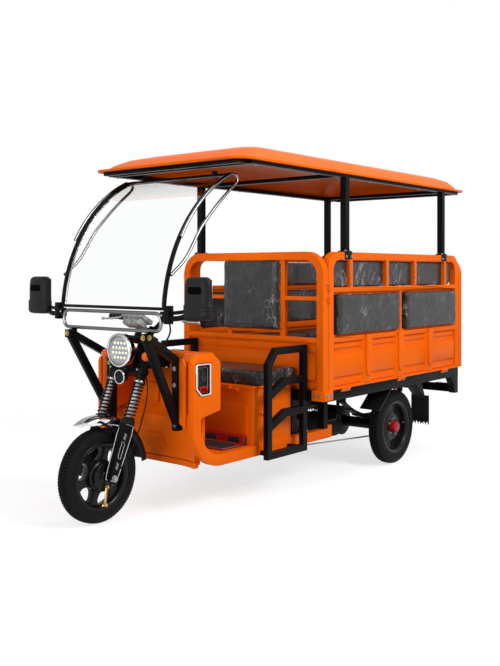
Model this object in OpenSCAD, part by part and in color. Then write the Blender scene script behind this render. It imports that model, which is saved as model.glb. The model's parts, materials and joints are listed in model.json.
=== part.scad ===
// Electric passenger tricycle with a roofed load body, three wheels and a raked front fork.
// Millimetres. X points forward, Y to the left, Z up, the origin on the ground under the middle.
// Lengths along the vehicle are measured from the rear axle, heights from the ground.

/* [Wheels] */
// Distance between the front and rear axles
wheelbase = 2095; // [2050:5:2200]
// Distance between the middles of the rear tyres
track = 848; // [820:2:880]
// Outer diameter of the front tyre
front_tyre_d = 460; // [450:2:480]
// Width of the front tyre
front_tyre_w = 83; // [76:1:90]
// Outer diameter of a rear tyre
rear_tyre_d = 467; // [455:1:480]
// Width of a rear tyre
rear_tyre_w = 86; // [80:1:96]
// Diameter over the rim flanges
rim_d = 330; // [310:2:345]
// Diameter of the wheel axles
axle_d = 20; // [16:1:24]

/* [Fork] */
// Angle of the steering axis from the vertical
rake = 22.5; // [18:0.5:26]
// Distance between the two fork legs
leg_gap = 194; // [180:2:210]
// Distance from the steering axis forward to the legs
yoke_offset = 45; // [38:1:52]
// Diameter of the bright inner tubes
stanchion_d = 32; // [28:1:36]
// Outer diameter of the coil springs
spring_d = 60; // [54:1:66]
// Length of the coil springs
spring_l = 186; // [170:2:196]
// Diameter of the steering stem
stem_d = 30; // [26:1:34]
// Diameter of the headlight
headlight_d = 160; // [140:2:176]
// Width over the handlebar grips
handlebar_w = 700; // [640:10:760]

/* [Cab] */
// Width over the side hoops
cab_w = 690; // [660:4:720]
// Front face of the side hoops, ahead of the rear axle
cab_front = 1785; // [1770:5:1810]
// Height of the sills' underside
sill_z = 237; // [230:1:250]
// Height of a sill's section
sill_h = 56; // [50:2:64]
// Width of a hoop's section along the vehicle
hoop_w = 58; // [50:1:64]
// Top of the front wall
wall_top = 814; // [800:2:840]
// Length of the seat box
seat_l = 340; // [320:1:350]
// Space between the seat box and the outside of each hoop
seat_side = 10; // [6:1:30]
// Top of the seat box
seat_top = 596; // [580:1:615]
// Thickness of the seat cushion
cushion_t = 83; // [70:1:95]

/* [Windscreen] */
// Radius of the screen's curve
screen_r = 791; // [770:1:810]
// Distance between the middles of the screen's side tubes
screen_w = 734; // [700:2:760]
// Diameter of the screen's tubes
screen_tube = 22; // [18:1:26]
// Thickness of the clear sheet
glass_t = 4; // [3:0.5:6]

/* [Load body] */
// Width of the load body
body_w = 1056; // [1030:2:1080]
// Front face of the body, ahead of the rear axle
body_front = 924; // [900:2:940]
// Rear end of the side walls, behind the rear axle
body_rear = 750; // [720:5:770]
// Height of the load floor
bed_z = 557; // [540:1:575]
// Depth of the walls' tubes
wall_t = 46; // [40:1:52]
// Top of the low rail
rail_low = 853; // [830:1:880]
// Top of the middle rail
rail_mid = 1135; // [1110:1:1160]
// Top of the walls
body_top = 1337; // [1310:1:1370]
// Height of the benches with their cushions
bench_top = 800; // [780:2:820]

/* [Roof] */
// Front edge of the roof, ahead of the rear axle
roof_front = 1664; // [1640:2:1700]
// Rear edge of the roof, behind the rear axle
roof_tail = 842; // [830:2:880]
// Width of the roof
roof_w = 1100; // [1080:2:1140]
// Height of the roof's brim
brim_z = 1783; // [1760:1:1810]
// Rise of the crown above the brim
crown_h = 108; // [90:2:120]
// Side of the square roof posts
post_w = 40; // [32:1:44]

/* [Hidden] */
$fn = 48;
orange = "#f26a10";
black = "#1b1b1c";
dark = "#2c2c2e";
chrome = "#c9ccd0";
steel = "#8f9296";
rubber = "#161616";
clear = "#dfe8ee80";
red = "#c81e14";
amber = "#f4511e";
gold = "#b49a50";

seat_gap = 0.3;      // gap of a soft or laid piece to its seat
run = 0.05;          // radial clearance of a shaft in its bore
swing = 6;           // clearance of a swinging panel to its frame

rear_axle_x = (roof_tail - wheelbase - front_tyre_d / 2) / 2;
front_r = front_tyre_d / 2;
rear_r = rear_tyre_d / 2;
half_track = track / 2;
leg_y = leg_gap / 2;
half_cab = cab_w / 2;
half_body = body_w / 2;
half_roof = roof_w / 2;
half_screen = screen_w / 2;
sill_w = 45;
floor_top = sill_z + sill_h;
floor_t = 22;
lower_rail_h = 34;
rail_w = 40;
rail_y = half_cab - sill_w - rail_w / 2 - seat_gap;   // middle of each chassis rail
rail_h = 60;
rail_top = bed_z - 60;
sill_y = [half_body - 50, half_body - 3];   // inner and outer faces of the body's sills
wall_x = cab_front - 160;   // front face of the front wall
wall_plate = 25;
flag_y = half_cab - 88;     // inner face of the lamp housings
seat_rear = body_front + 43;
seat_front = seat_rear + seat_l;
sill_rear = body_front - 359;   // rear end of the sills, under the body
guard_y = [half_cab + 52, half_cab + 82];   // inner and outer faces of the side guards
guard_x = [body_front + 10, seat_front - 13];
guard_top = seat_top + 220;
seat_w = cab_w - 2 * seat_side;
gate_x = -body_rear - swing;
gate_hinge = [gate_x - 22, bed_z - 12];
seat_hinge = [seat_front + 11, seat_top - 5];
screen_c = [1223, 990];     // centre of the screen's curve, along and up
screen_low = 4.2;           // angle of the screen's bottom edge
screen_high = 67.3;         // angle of the screen's top edge
screen_corner_d = screen_tube + 3;   // balls at the corners of the screen's tubes
brace_d = 16;
loop_z = screen_c[1] + screen_r * sin(screen_low) - 108;   // middle of the loop's lower bar
strut_node = [screen_c[0] + screen_r + 24, half_screen - 91, loop_z - 32];
// lower stretch of a screen stay, from the screen's centre
stay_points = [[283, 744], [257, 710], [353, 635], [439, 562], [557, 446], [614, 359], [665, 289],
    [763, 217]];
mirror_x = screen_c[0] + screen_r - 40;      // back of a mirror's housing
mirror_y = [half_screen + 129, half_screen + 283];
mirror_z = [1000, 1198];
lamp_low = [cab_front - 131, wall_top - 211];    // the side lamps' outline, along and up
lamp_high = [cab_front - 18, wall_top - 46];
spring_s = 288;             // start of a spring along its leg
lower_yoke_s = 520;
upper_yoke_s = 690;
yoke_t = 25;
frame_top_z = brim_z + 4;
frame_h = 22;
lip_w = 22;                 // flat lip round the roof
lip_t = 11;
bench_in = 185;
hinge_ys = [-360, 360];
knuckle_w = 40;
ear_t = 12;
gate_pin_d = 12;
bar_t = 30;
bar_deep = 25;
upper_bars = [635, 224, -130, -551];
rib_xs = [461, 79, -313];
wall_front = 872;
wall_edge = 52;
motor_d = 150;
motor_x = 176;
leaf_y = rail_y;
leaf_c = 620;        // radius of the lowest leaf's underside
leaf_t = 9;
shroud_d = stanchion_d + 18;
bar_z = 985;
bar_d = 22;
bar_mid = [1772, 925];                                // middle of the bar, along and up
bar_end = [1690, handlebar_w / 2, bar_z - 4];
bar_knee = [1715, handlebar_w / 2 - 130, bar_z];      // where the grip's straight stretch ends
roof_r = 90;
post_xs = [[670, 786], [-532, -649]];   // each pair of roof posts, left and right
// rise of the crown: inset at the sides, at the front, at the rear, height as a share of the crown
crown_steps = [[0, 0, 0, 0.02], [28, 50, 16, 0.34], [66, 130, 42, 0.65], [134, 250, 98, 0.9], [236,
    380, 196, 0.99]];

// Placing helpers

module in_frame() { translate([rear_axle_x, 0, 0]) children(); }

module both_sides() {
    children();
    mirror([0, 1, 0]) children();
}

// A box from its low corner to its high corner
module block(low, high) { translate(low) cube(high - low); }

// The same box on the left and on the right
module pair(low, high) { both_sides() block(low, high); }

// A square bar between two points
module bar(p, q, w, h) {
    d = q - p;
    translate(p) rotate([0, -asin(d[2] / norm(d)), atan2(d[1], d[0])])
        translate([0, -w / 2, -h / 2]) cube([norm(d), w, h]);
}

// A round rod between two points
module rod(p, q, d) {
    v = q - p;
    translate(p) rotate([0, acos(v[2] / norm(v)), atan2(v[1], v[0])]) cylinder(d = d, h = norm(v));
}

// Local frame of the fork: Z runs up along the legs from the front axle, X forward
module fork() { translate([wheelbase, 0, front_r]) rotate([0, -rake, 0]) children(); }

// A side view outline, drawn along and up, pulled across from y0 to y1
module side_slab(y0, y1) { translate([0, y1, 0]) rotate([90, 0, 0]) linear_extrude(y1 - y0) children(); }

// A front view outline, drawn across and up, pulled along from x0 to x1
module front_slab(x0, x1) {
    translate([x0, 0, 0]) rotate([90, 0, 90]) linear_extrude(x1 - x0) children();
}

// A plan view outline pulled up from z0 to z1
module plan_slab(z0, z1) { translate([0, 0, z0]) linear_extrude(z1 - z0) children(); }

// A rectangle with four round corners, from its low corner to its high corner
module round_rect(low, high, r) {
    translate([low[0] + r, low[1]]) square([high[0] - low[0] - 2 * r, high[1] - low[1]]);
    translate([low[0], low[1] + r]) square([high[0] - low[0], high[1] - low[1] - 2 * r]);
    for (x = [low[0] + r, high[0] - r], z = [low[1] + r, high[1] - r]) translate([x, z]) circle(r);
}

// A rectangle whose two upper corners are round
module arch_rect(low, high, r) {
    translate(low) square([high[0] - low[0], high[1] - low[1] - r]);
    translate([low[0] + r, low[1]]) square([high[0] - low[0] - 2 * r, high[1] - low[1]]);
    for (x = [low[0] + r, high[0] - r]) translate([x, high[1] - r]) circle(r);
}

// Tubes bent along a path

function unit(v) = v / norm(v);

// Replaces each inner corner of a path by a curve that starts r before it
function bend(p, r, n = 4) = [p[0], for (i = [1 : len(p) - 2])
    let (a = p[i] + r * unit(p[i - 1] - p[i]), b = p[i] + r * unit(p[i + 1] - p[i]))
    each [for (k = [0 : n]) let (t = k / n) (1 - t) * (1 - t) * a + 2 * t * (1 - t) * p[i] + t * t * b],
    p[len(p) - 1]];

function tangent(p, i) = unit(p[min(i + 1, len(p) - 1)] - p[max(i - 1, 0)]);

function ring(p, t, up, r, n) = let (s = unit(cross(t, up)), u = cross(s, t))
    [for (k = [0 : n - 1]) p + r * (cos(360 * k / n) * s + sin(360 * k / n) * u)];

module bent_tube(path, d, up = [0, 0, 1], n = 10) {
    m = len(path);
    points = [for (i = [0 : m - 1]) each ring(path[i], tangent(path, i), up, d / 2, n)];
    sides = [for (i = [0 : m - 2], k = [0 : n - 1]) let (j = (k + 1) % n)
        [i * n + k, i * n + j, i * n + n + j, i * n + n + k]];
    ends = [[for (k = [n - 1 : -1 : 0]) k], [for (k = [0 : n - 1]) (m - 1) * n + k]];
    polyhedron(points, concat(sides, ends), convexity = 8);
}

// Chassis

module head_tube(d, s0, s1) { fork() translate([-yoke_offset, 0, s0]) cylinder(d = d, h = s1 - s0); }

module chassis_frame() {
    leg_x = [body_front - 64, body_front - 16];
    low_z = floor_top - floor_t;
    post_x = wall_x - 105;
    head_s = (lower_yoke_s + upper_yoke_s + yoke_t) / 2;
    head_x = wheelbase - yoke_offset * cos(rake) - head_s * sin(rake);
    cross_x = [body_front + 20, seat_rear + 60, seat_front - 60, post_x - 10];
    neck = [wall_top - 90, wall_top - 8];
    color(black) in_frame() difference() {
        union() {
            pair([-body_rear, rail_y - rail_w / 2, rail_top - rail_h],
                [leg_x[1], rail_y + rail_w / 2, rail_top]);
            pair([leg_x[0], rail_y - rail_w / 2, low_z - lower_rail_h],
                [leg_x[1], rail_y + rail_w / 2, rail_top]);
            pair([leg_x[0], rail_y - rail_w / 2, low_z - lower_rail_h],
                [wall_x - wall_plate, rail_y + rail_w / 2, low_z]);
            for (x = cross_x)
                block([x, -rail_y, low_z - lower_rail_h], [x + 50, rail_y, low_z]);
            for (x = [-body_rear, -body_rear + 560, leg_x[0]])
                block([x, -rail_y, rail_top - rail_h + 10], [x + 40, rail_y, rail_top]);
            block([post_x, -35, low_z - lower_rail_h], [post_x + 50, 35, neck[1]]);
            block([post_x + 40, -30, neck[0]], [head_x - 10, 30, neck[1]]);
            head_tube(stem_d + 26, lower_yoke_s + yoke_t + 8, upper_yoke_s - 8);
        }
        head_tube(stem_d + 2 * run, lower_yoke_s, upper_yoke_s + yoke_t);
    }
}

module bed_frame() {
    front_x = body_front - 52;
    color(black) in_frame() {
        pair([-body_rear, sill_y[0], rail_top], [front_x + 2, sill_y[1], bed_z]);
        for (x = [-body_rear, -380, 0, 380, front_x - 50])
            block([x, -sill_y[0], rail_top], [x + 50, sill_y[0], bed_z - 17]);
        block([front_x, -sill_y[0], rail_top], [body_front, sill_y[0], bed_z]);
        // tow eye on the middle of the rear cross member
        difference() {
            block([-body_rear - 34, -8, rail_top + 4], [-body_rear, 8, rail_top + 40]);
            translate([-body_rear - 18, 9, rail_top + 22]) rotate([90, 0, 0]) cylinder(d = 16, h = 18);
        }
        gate_ears();
    }
}

module gate_ears() {
    h = gate_hinge;
    for (y = hinge_ys) {
        for (s = [-1, 1]) translate([0, y + s * (knuckle_w / 2 + 1 + ear_t / 2), 0]) {
            block([h[0], -ear_t / 2, h[1] - 12], [-body_rear, ear_t / 2, h[1] + 12]);
            translate([h[0], ear_t / 2, h[1]]) rotate([90, 0, 0]) cylinder(d = 24, h = ear_t);
        }
        translate([h[0], y + knuckle_w / 2 + ear_t, h[1]]) rotate([90, 0, 0])
            cylinder(d = gate_pin_d, h = knuckle_w + 2 * ear_t);
    }
}

// Legs under the rear corners, with the bumper plate between them
module rear_bumper() {
    foot_z = rail_top - 117;
    color(black) in_frame() {
        both_sides() side_slab(sill_y[0], sill_y[1])
            polygon([[-body_rear, rail_top], [-body_rear, foot_z], [-body_rear + 45, foot_z],
                [-body_rear + 62, rail_top - 60], [-body_rear + 110, rail_top]]);
        block([-body_rear, -sill_y[0], foot_z], [-body_rear + 8, sill_y[0], rail_top - rail_h]);
    }
}

// Posts that carry the bed's rails on the sills, with bent stirrups behind them
module corner_posts() {
    x = [sill_rear + 44, sill_rear + 84];
    low = sill_z + sill_h;
    bow_d = 22;
    bow_x = x[0] - 2 * seat_gap;
    bow_y = rail_y + rail_w / 2 + bow_d / 2 + seat_gap;
    color(black) in_frame() {
        pair([x[0], half_cab - sill_w, low], [x[1], half_cab, rail_top]);
        both_sides() bent_tube(bend([[bow_x, bow_y, low + 40], [bow_x - 130, bow_y, low + 40],
            [bow_x - 160, bow_y, low + 92], [bow_x - 160, bow_y, rail_top - 5]], 16), bow_d, up = [0,
                1, 0]);
    }
}

module bed_floor() {
    ribs = 9;
    pitch = (body_w - 140) / (ribs - 1);
    y = half_body - 50;
    color(dark) in_frame() {
        block([-body_rear, -y, bed_z - 17], [body_front - 52, y, bed_z - 5]);
        for (i = [0 : ribs - 1])
            translate([0, (i - (ribs - 1) / 2) * pitch, 0])
                block([-body_rear + 20, -14, bed_z - 5], [body_front - 70, 14, bed_z]);
    }
}

// Cab

module hoop_outline() {
    r = 212;
    inner = r - hoop_w;
    c = [cab_front - r, sill_z + r];
    difference() {
        union() {
            translate([cab_front - hoop_w, c[1]]) square([hoop_w, wall_top - 240 - c[1]]);
            translate([sill_rear, sill_z]) square([c[0] - sill_rear, sill_h]);
            intersection() {
                translate(c) circle(r, $fn = 96);
                translate([c[0], sill_z]) square(r);
            }
        }
        translate(c) circle(inner, $fn = 96);
        translate([c[0] - inner, sill_z + sill_h]) square([inner, inner]);
    }
}

// Lamp housing beside the front wall, seen from the side
module flag_outline() {
    rear = cab_front - 228;
    polygon([[cab_front, wall_top - 330], [cab_front, wall_top - 30], [cab_front - 38, wall_top],
        [rear + 59, wall_top], [rear, wall_top - 48], [rear, wall_top - 290]]);
}

module lamp_outline(grow) {
    low = lamp_low - [grow, grow];
    high = lamp_high + [grow, grow];
    cut = 34;
    polygon([[low[0], low[1]], [high[0] - cut, low[1]], [high[0], low[1] + cut], high, [low[0], high[1]]]);
}

module sill_hoops() {
    pocket = 14;
    color(orange) in_frame() both_sides() difference() {
        union() {
            side_slab(half_cab - sill_w, half_cab) hoop_outline();
            side_slab(flag_y, half_cab) flag_outline();
            // rear outrigger at the sill's end
            block([sill_rear, half_cab - sill_w, sill_z + sill_h], [sill_rear + 42, half_cab,
                sill_z + sill_h + 18]);
        }
        side_slab(half_cab - pocket, half_cab + 1) lamp_outline(0);
        // shallow recess in the forward face
        block([cab_front - 9, flag_y + 24, wall_top - 300], [cab_front + 1, half_cab - 26, wall_top - 40]);
    }
}

module lamp_bezels() {
    color(chrome) in_frame() both_sides() difference() {
        side_slab(half_cab - 10, half_cab + 7) lamp_outline(-0.3);
        side_slab(half_cab - 11, half_cab + 8) lamp_outline(-13);
    }
}

module lamp_lenses() {
    color(red) in_frame() both_sides() side_slab(half_cab - 14 + seat_gap, half_cab + 2)
        lamp_outline(-13.4);
}

module front_wall() {
    plate = [wall_x - wall_plate, wall_x];
    side = half_cab - sill_w;
    low = floor_top - floor_t;
    flag_low = wall_top - 330;
    cove_r = 105;
    // pressed bands: bottom, top, outer edge
    bands = [[low + 30, low + 100, side - cove_r - 30], [low + 115, low + 195, side - cove_r - 30],
        [low + 225, low + 345, flag_y - 70], [low + 365, wall_top - 40, flag_y - 40]];
    color(orange) in_frame() difference() {
        union() {
            block([plate[0], -side, low], [plate[1], side, flag_low]);
            block([plate[0], -flag_y, low], [plate[1], flag_y, wall_top - 4]);
            for (b = bands) pair([plate[1], 42, b[0]], [plate[1] + 12, b[2], b[1]]);
            // curved cheeks that come forward to the hoops
            both_sides() difference() {
                translate([plate[1] + cove_r, side - cove_r - 20, low]) rotate([0, 0, 90])
                    rotate_extrude(angle = 90) translate([cove_r, 0]) square([20, flag_low - low]);
                block([cab_front - hoop_w, 0, low - 1], [cab_front + 100, side + 20, flag_low + 1]);
            }
            block([plate[0], -side, sill_z], [wall_x + 50, side, low]);
        }
        // slot for the steering neck, open at the top
        block([plate[0] - 1, -34, wall_top - 99], [plate[1] + 30, 34, wall_top + 10]);
    }
}

module floor_plate() {
    color(orange) in_frame() difference() {
        block([body_front - 10, -(half_cab - sill_w), floor_top - floor_t],
            [wall_x - wall_plate, half_cab - sill_w, floor_top]);
        block([wall_x - 110, -40, floor_top - floor_t - 1], [wall_x - 50, 40, floor_top + 1]);
    }
}

module floor_mat() {
    front = wall_x - 120;
    rear = seat_front + seat_gap;
    y = half_cab - sill_w - 6;
    color(dark) in_frame() {
        plan_slab(floor_top, floor_top + 6) round_rect([rear, -y], [front, y], 25);
        // raised red rimmed kick strip along the seat box
        block([rear, -y, floor_top + 6], [rear + 24, y, floor_top + 46]);
    }
}

module seat_box() {
    t = 14;
    y = seat_w / 2;
    color(orange) in_frame() {
        difference() {
            block([seat_rear, -y, floor_top], [seat_front, y, seat_top]);
            block([seat_rear + t, -y + t, floor_top - 1], [seat_front - t, y - t, seat_top + 1]);
            // handle slot on the front
            front_slab(seat_front - t - 1, seat_front + 1) round_rect([-60, seat_top - 70], [60,
                seat_top - 40], 14);
        }
        for (y0 = [-y + 40, 20])
            block([seat_front, y0, floor_top + 60], [seat_front + 6, y0 + y - 60, seat_top - 90]);
        both_sides() block([seat_rear + 40, y, floor_top + 40], [seat_front - 60, y + 5, seat_top - 70]);
        // hinge ears on the front of the box, with their pin
        for (y0 = [-240, 216]) block([seat_front, y0, seat_hinge[1] - 9], [seat_hinge[0] + 9, y0 + 24,
            seat_hinge[1] + 2]);
        translate([seat_hinge[0], 240, seat_hinge[1]]) rotate([90, 0, 0]) cylinder(d = 8, h = 480);
    }
}

module battery_pack() {
    color(dark) in_frame()
        block([seat_rear + 40, -300, floor_top], [seat_front - 40, 300, seat_top - 60]);
}

module seat_lid() {
    y = seat_w / 2 + 8;
    z = seat_top + seat_gap;
    color(dark) in_frame() difference() {
        union() {
            block([seat_rear - 8, -y, z], [seat_front + 4, y, z + 12]);
            for (y0 = [-190, 150]) {
                block([seat_front - 10, y0, z], [seat_hinge[0] + 9, y0 + 40, z + 12]);
                translate([seat_hinge[0], y0 + 40, seat_hinge[1]]) rotate([90, 0, 0]) cylinder(d = 18,
                    h = 40);
            }
        }
        translate([seat_hinge[0], 260, seat_hinge[1]]) rotate([90, 0, 0]) cylinder(d = 8 + 2 * run,
            h = 520);
    }
}

module seat_cushion() {
    z = seat_top + 12 + 2 * seat_gap;
    y = seat_w / 2 + 14;
    color(dark) in_frame()
        plan_slab(z, z + cushion_t - 12) round_rect([seat_rear - 32, -y], [seat_front - 40, y], 30);
}

// A side guard of square tube, across from y0 to y1, its outline from low to high
module guard(y0, y1, low, high) {
    t = 38;
    rear = low[0];
    front = high[0];
    top = high[1];
    side_slab(y0, y1) {
        difference() {
            polygon([low, [front, low[1]], [front, top - 83], [front - 70, top], [rear, top]]);
            polygon([[rear + t, low[1] + t], [front - t, low[1] + t], [front - t, top - 99],
                [front - 86, top - t], [rear + t, top - t]]);
        }
        for (z = [top - 188, top - 358]) polygon([[rear + 20, z - 20], [front - 170, z - 20],
            [front - 20, z - 90], [front - 20, z - 45], [front - 155, z + 20], [rear + 20, z + 20]]);
    }
}

module side_guards() {
    color(black) in_frame() both_sides() {
        guard(guard_y[0], guard_y[1], [guard_x[0], sill_z - 12], [guard_x[1], guard_top]);
        for (x = [guard_x[0] + 50, guard_x[1] - 70]) block([x, half_cab, sill_z], [x + 30, guard_y[0],
            sill_z + 25]);
    }
}

// Windscreen, its tubes and stays

function on_screen(r, a) = [screen_c[0] + r * cos(a), screen_c[1] + r * sin(a)];

// Part of a ring about the screen's axis, from angle a0 to a1, its section drawn as [radius, across]
module screen_sweep(a0, a1) {
    translate([screen_c[0], 0, screen_c[1]]) rotate([90, 0, 0]) rotate([0, 0, a0])
        rotate_extrude(angle = a1 - a0, $fn = 96) children();
}

module screen_frame() {
    low = on_screen(screen_r, screen_low);
    high = on_screen(screen_r, screen_high);
    color(black) in_frame() {
        for (y = [-half_screen, half_screen])
            screen_sweep(screen_low, screen_high) translate([screen_r, y]) circle(d = screen_tube);
        for (p = [low, high]) {
            translate([p[0], half_screen, p[1]]) rotate([90, 0, 0]) cylinder(d = screen_tube, h = screen_w);
            for (y = [-half_screen, half_screen]) translate([p[0], y, p[1]]) sphere(d = screen_corner_d);
        }
        // studs up to the roof's frame
        both_sides() block([high[0] - 10, 250, high[1]], [high[0] + 10, 270,
            frame_top_z - frame_h - seat_gap]);
    }
}

module windscreen() {
    gap = asin((screen_tube / 2 + seat_gap) / screen_r);
    y = half_screen - screen_tube / 2 - seat_gap;
    color(clear) in_frame() screen_sweep(screen_low + gap, screen_high - gap)
        translate([screen_r - glass_t / 2, -y]) square([glass_t, 2 * y]);
}

module screen_braces() {
    low = on_screen(screen_r, screen_low);
    y = half_screen - 15;
    top = low[1] - screen_tube / 2 - brace_d / 2 - seat_gap;
    slit = seat_gap;
    color(chrome) in_frame() {
        // loop under the screen
        bent_tube(bend([[low[0], slit, top], [low[0], y, top], [low[0], y, loop_z], [low[0], -y, loop_z],
            [low[0], -y, top], [low[0], -slit, top]], 30), brace_d, up = [1, 0, 0]);
        // bowed stays beside the screen, with a hairpin at the top
        both_sides() bent_tube(bend(stay_path(), 18), brace_d, up = [0, 1, 0]);
    }
}

// A stay leaves the side tube low down, bows back and turns round at the top
function stay_path() = let (y = half_screen + screen_tube / 2 + brace_d / 2 + seat_gap)
    concat([for (a = [34 : 8 : 66]) let (p = on_screen(screen_r, a)) [p[0], y, p[1]]],
        [for (s = stay_points) [screen_c[0] + s[0], y, screen_c[1] + s[1]]]);

module screen_struts() {
    post_x = [cab_front - 17, cab_front + 23];
    post_y = [flag_y - 36, flag_y];
    mid = [(post_x[0] + post_x[1]) / 2, (post_y[0] + post_y[1]) / 2];
    tip = 20;
    color(black) in_frame() both_sides() {
        block([post_x[0], post_y[0], wall_top - 381], [post_x[1], post_y[1], wall_top - 17]);
        bar(strut_node + [0, 0, 4], [mid[0] + 1, mid[1], wall_top - 40], 32, 36);
        bar(strut_node - [0, 0, 6], [mid[0] - 2, mid[1] + 1, wall_top - 356], 30, 38);
        block(strut_node - [tip, tip, tip], strut_node + [tip, tip, tip]);
        // saddle under the screen's lower loop
        block(strut_node + [-36, -10, 4], [strut_node[0], strut_node[1] + 10,
            loop_z - brace_d / 2 - seat_gap]);
        // short brace back to the front wall
        block([wall_x + 12, flag_y - 62, wall_top - 124], [post_x[0] + 2, flag_y - 20, wall_top - 92]);
    }
}

module mirrors() {
    low = on_screen(screen_r, screen_low);
    y0 = half_screen + screen_corner_d / 2 + seat_gap;
    y = mirror_y;
    z = mirror_z;
    color(black) in_frame() both_sides() {
        // clamp on the screen's corner and the arm
        block([low[0] - 18, y0, low[1] - 70], [low[0] + 18, y0 + 34, low[1] + 16]);
        bent_tube(bend([[low[0], y0 + 20, low[1] - 40], [low[0] - 2, y0 + 70, low[1] - 45],
            [low[0] - 10, y[0] + 10, z[0] + 26], [low[0] - 10, y[0] + 50, z[0] + 26]], 18), 22);
        difference() {
            union() {
                housing(mirror_x - 2, 62, [y[0] - 6, y[1] + 6], [z[0], z[0] + 70], 22);
                housing(mirror_x, 56, y, [z[0] + 40, z[1]], 30);
            }
            front_slab(mirror_x - 10, mirror_x + 5) mirror_window(0);
        }
    }
}

// Rounded housing of a mirror: back face, depth, across, up and the corner radius seen from ahead
module housing(x, depth, y, z, r) {
    side = depth / 2;
    intersection() {
        front_slab(x, x + depth) round_rect([y[0], z[0]], [y[1], z[1]], r);
        plan_slab(z[0], z[1]) {
            round_rect([x, y[0]], [x + depth, y[1]], side - 1);
            translate([x, y[0]]) square([side, y[1] - y[0]]);
        }
    }
}

module mirror_window(gap) {
    round_rect([mirror_y[0] + 10 + gap, mirror_z[0] + 82 + gap], [mirror_y[1] - 10 - gap,
        mirror_z[1] - 12 - gap], 20 - gap);
}

module mirror_glass() {
    color(chrome) in_frame() both_sides() front_slab(mirror_x + 1.5, mirror_x + 5 - seat_gap)
        mirror_window(seat_gap);
}

// Load body

module front_arch() {
    x = [body_front - 49, body_front];
    bar_x = [x[0] + 4, x[0] + 32];
    in_y = half_body - wall_t;
    bars_y = [-165, 233];
    color(orange) in_frame() {
        front_slab(x[0], x[1]) difference() {
            arch_rect([-half_body, bed_z - 52], [half_body, body_top], 130);
            arch_rect([-in_y, rail_low], [in_y, body_top - wall_t], 90);
            translate([-half_body + 50, 0]) square([body_w - 100, bed_z]);
            translate([-in_y, bed_z]) square([2 * in_y, rail_low - 28 - bed_z]);
        }
        front_slab(x[0] + 8, x[0] + 26) translate([-in_y, bed_z]) square([2 * in_y, rail_low - 28 - bed_z]);
        // pressed bands of the lower panel: bottom, top, how far they stand out
        for (b = [[bed_z + 14, bed_z + 46, 10], [bed_z + 62, rail_low - 92, 18], [rail_low - 78,
            rail_low - 44, 10]])
            block([x[0] + 26, -in_y + 12, b[0]], [x[0] + 26 + b[2], in_y - 12, b[1]]);
        for (y = bars_y) block([bar_x[0], y - bar_t / 2, rail_low], [bar_x[1], y + bar_t / 2,
            body_top - wall_t]);
        block([bar_x[0], bars_y[1], 1062], [bar_x[1], in_y, 1084]);
        block([bar_x[0], -in_y, 1062], [bar_x[1], bars_y[0], 1084]);
        // strip under the backrest
        block([bar_x[1] - 10, bars_y[0], 874], [bar_x[1], bars_y[1], 893]);
    }
}

module driver_backrest() {
    x = body_front - 49 + 32 + seat_gap;
    color(dark) in_frame() front_slab(x, x + 36) round_rect([-181, 893], [217, 1290], 14);
}

// Side wall on the left. bars: the upright bars of the upper band
module side_wall(bars) {
    x = [-body_rear, wall_front];
    y = [half_body - wall_t, half_body];
    in_x = [x[0] + wall_edge, x[1] - wall_edge];
    color(orange) {
        side_slab(y[0], y[1]) difference() {
            arch_rect([x[0], bed_z], [x[1], body_top], 100);
            arch_rect([in_x[0], rail_mid], [in_x[1], body_top - 44], 62);
            translate([in_x[0], rail_low]) square([in_x[1] - in_x[0], rail_mid - 28 - rail_low]);
            translate([in_x[0], bed_z + 14]) square([in_x[1] - in_x[0], rail_low - 28 - bed_z - 14]);
        }
        for (bx = bars) block([bx - bar_t / 2, y[1] - bar_deep, rail_mid], [bx + bar_t / 2, y[1],
            body_top - 44]);
        // divider and the strips that carry the back pads
        block([44, y[0] + 10, rail_low], [70, y[1] - 4, rail_mid - 28]);
        for (z = [rail_low, rail_mid - 41])
            block([in_x[0], y[0] + 12, z], [in_x[1], y[0] + 32, z + 13]);
        // pressed lower panel: sheet, stepped band, middle band, hat ribs
        block([in_x[0], y[0] + 14, bed_z + 14], [in_x[1], y[0] + 28, rail_low - 28]);
        for (b = [[bed_z + 20, bed_z + 42, 6], [bed_z + 70, rail_low - 98, 13], [rail_low - 66,
            rail_low - 40, 6]])
            block([in_x[0] + 8, y[0] + 28, b[0]], [in_x[1] - 8, y[0] + 28 + b[2], b[1]]);
        for (rx = rib_xs) hat_rib(rx, y);
    }
}

module hat_rib(rx, y) {
    wide = 97;
    plan_slab(bed_z + 14, rail_low - 28)
        polygon([[rx - wide / 2, y[0] + 28], [rx - wide / 2 + 18, y[1] + 6], [rx + wide / 2 - 18, y[1] + 6],
            [rx + wide / 2, y[0] + 28]]);
}

module left_wall() {
    in_frame() side_wall(upper_bars);
}

module right_wall() {
    in_frame() mirror([0, 1, 0]) side_wall([for (i = [1 : 3]) upper_bars[i]]);
}

module upper_pads() {
    y = [half_body - 73, half_body - bar_deep - seat_gap];
    z = [rail_mid + seat_gap, body_top - 47];
    color(dark) in_frame() {
        side_slab(y[0], y[1]) round_rect([-body_rear + 70, z[0]], [wall_front - 72, z[1]], 50);
        mirror([0, 1, 0]) side_slab(y[0], y[1]) round_rect([-body_rear + 70, z[0]], [500, z[1]], 50);
    }
}

module back_pads() {
    y = [half_body - wall_t + 1, half_body + 15];
    z = [rail_low + 13 + seat_gap, rail_mid - 41 - seat_gap];
    color(dark) in_frame() both_sides() side_slab(y[0], y[1]) {
        round_rect([97, z[0]], [790, z[1]], 22);
        round_rect([-680, z[0]], [15, z[1]], 22);
    }
}

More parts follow.
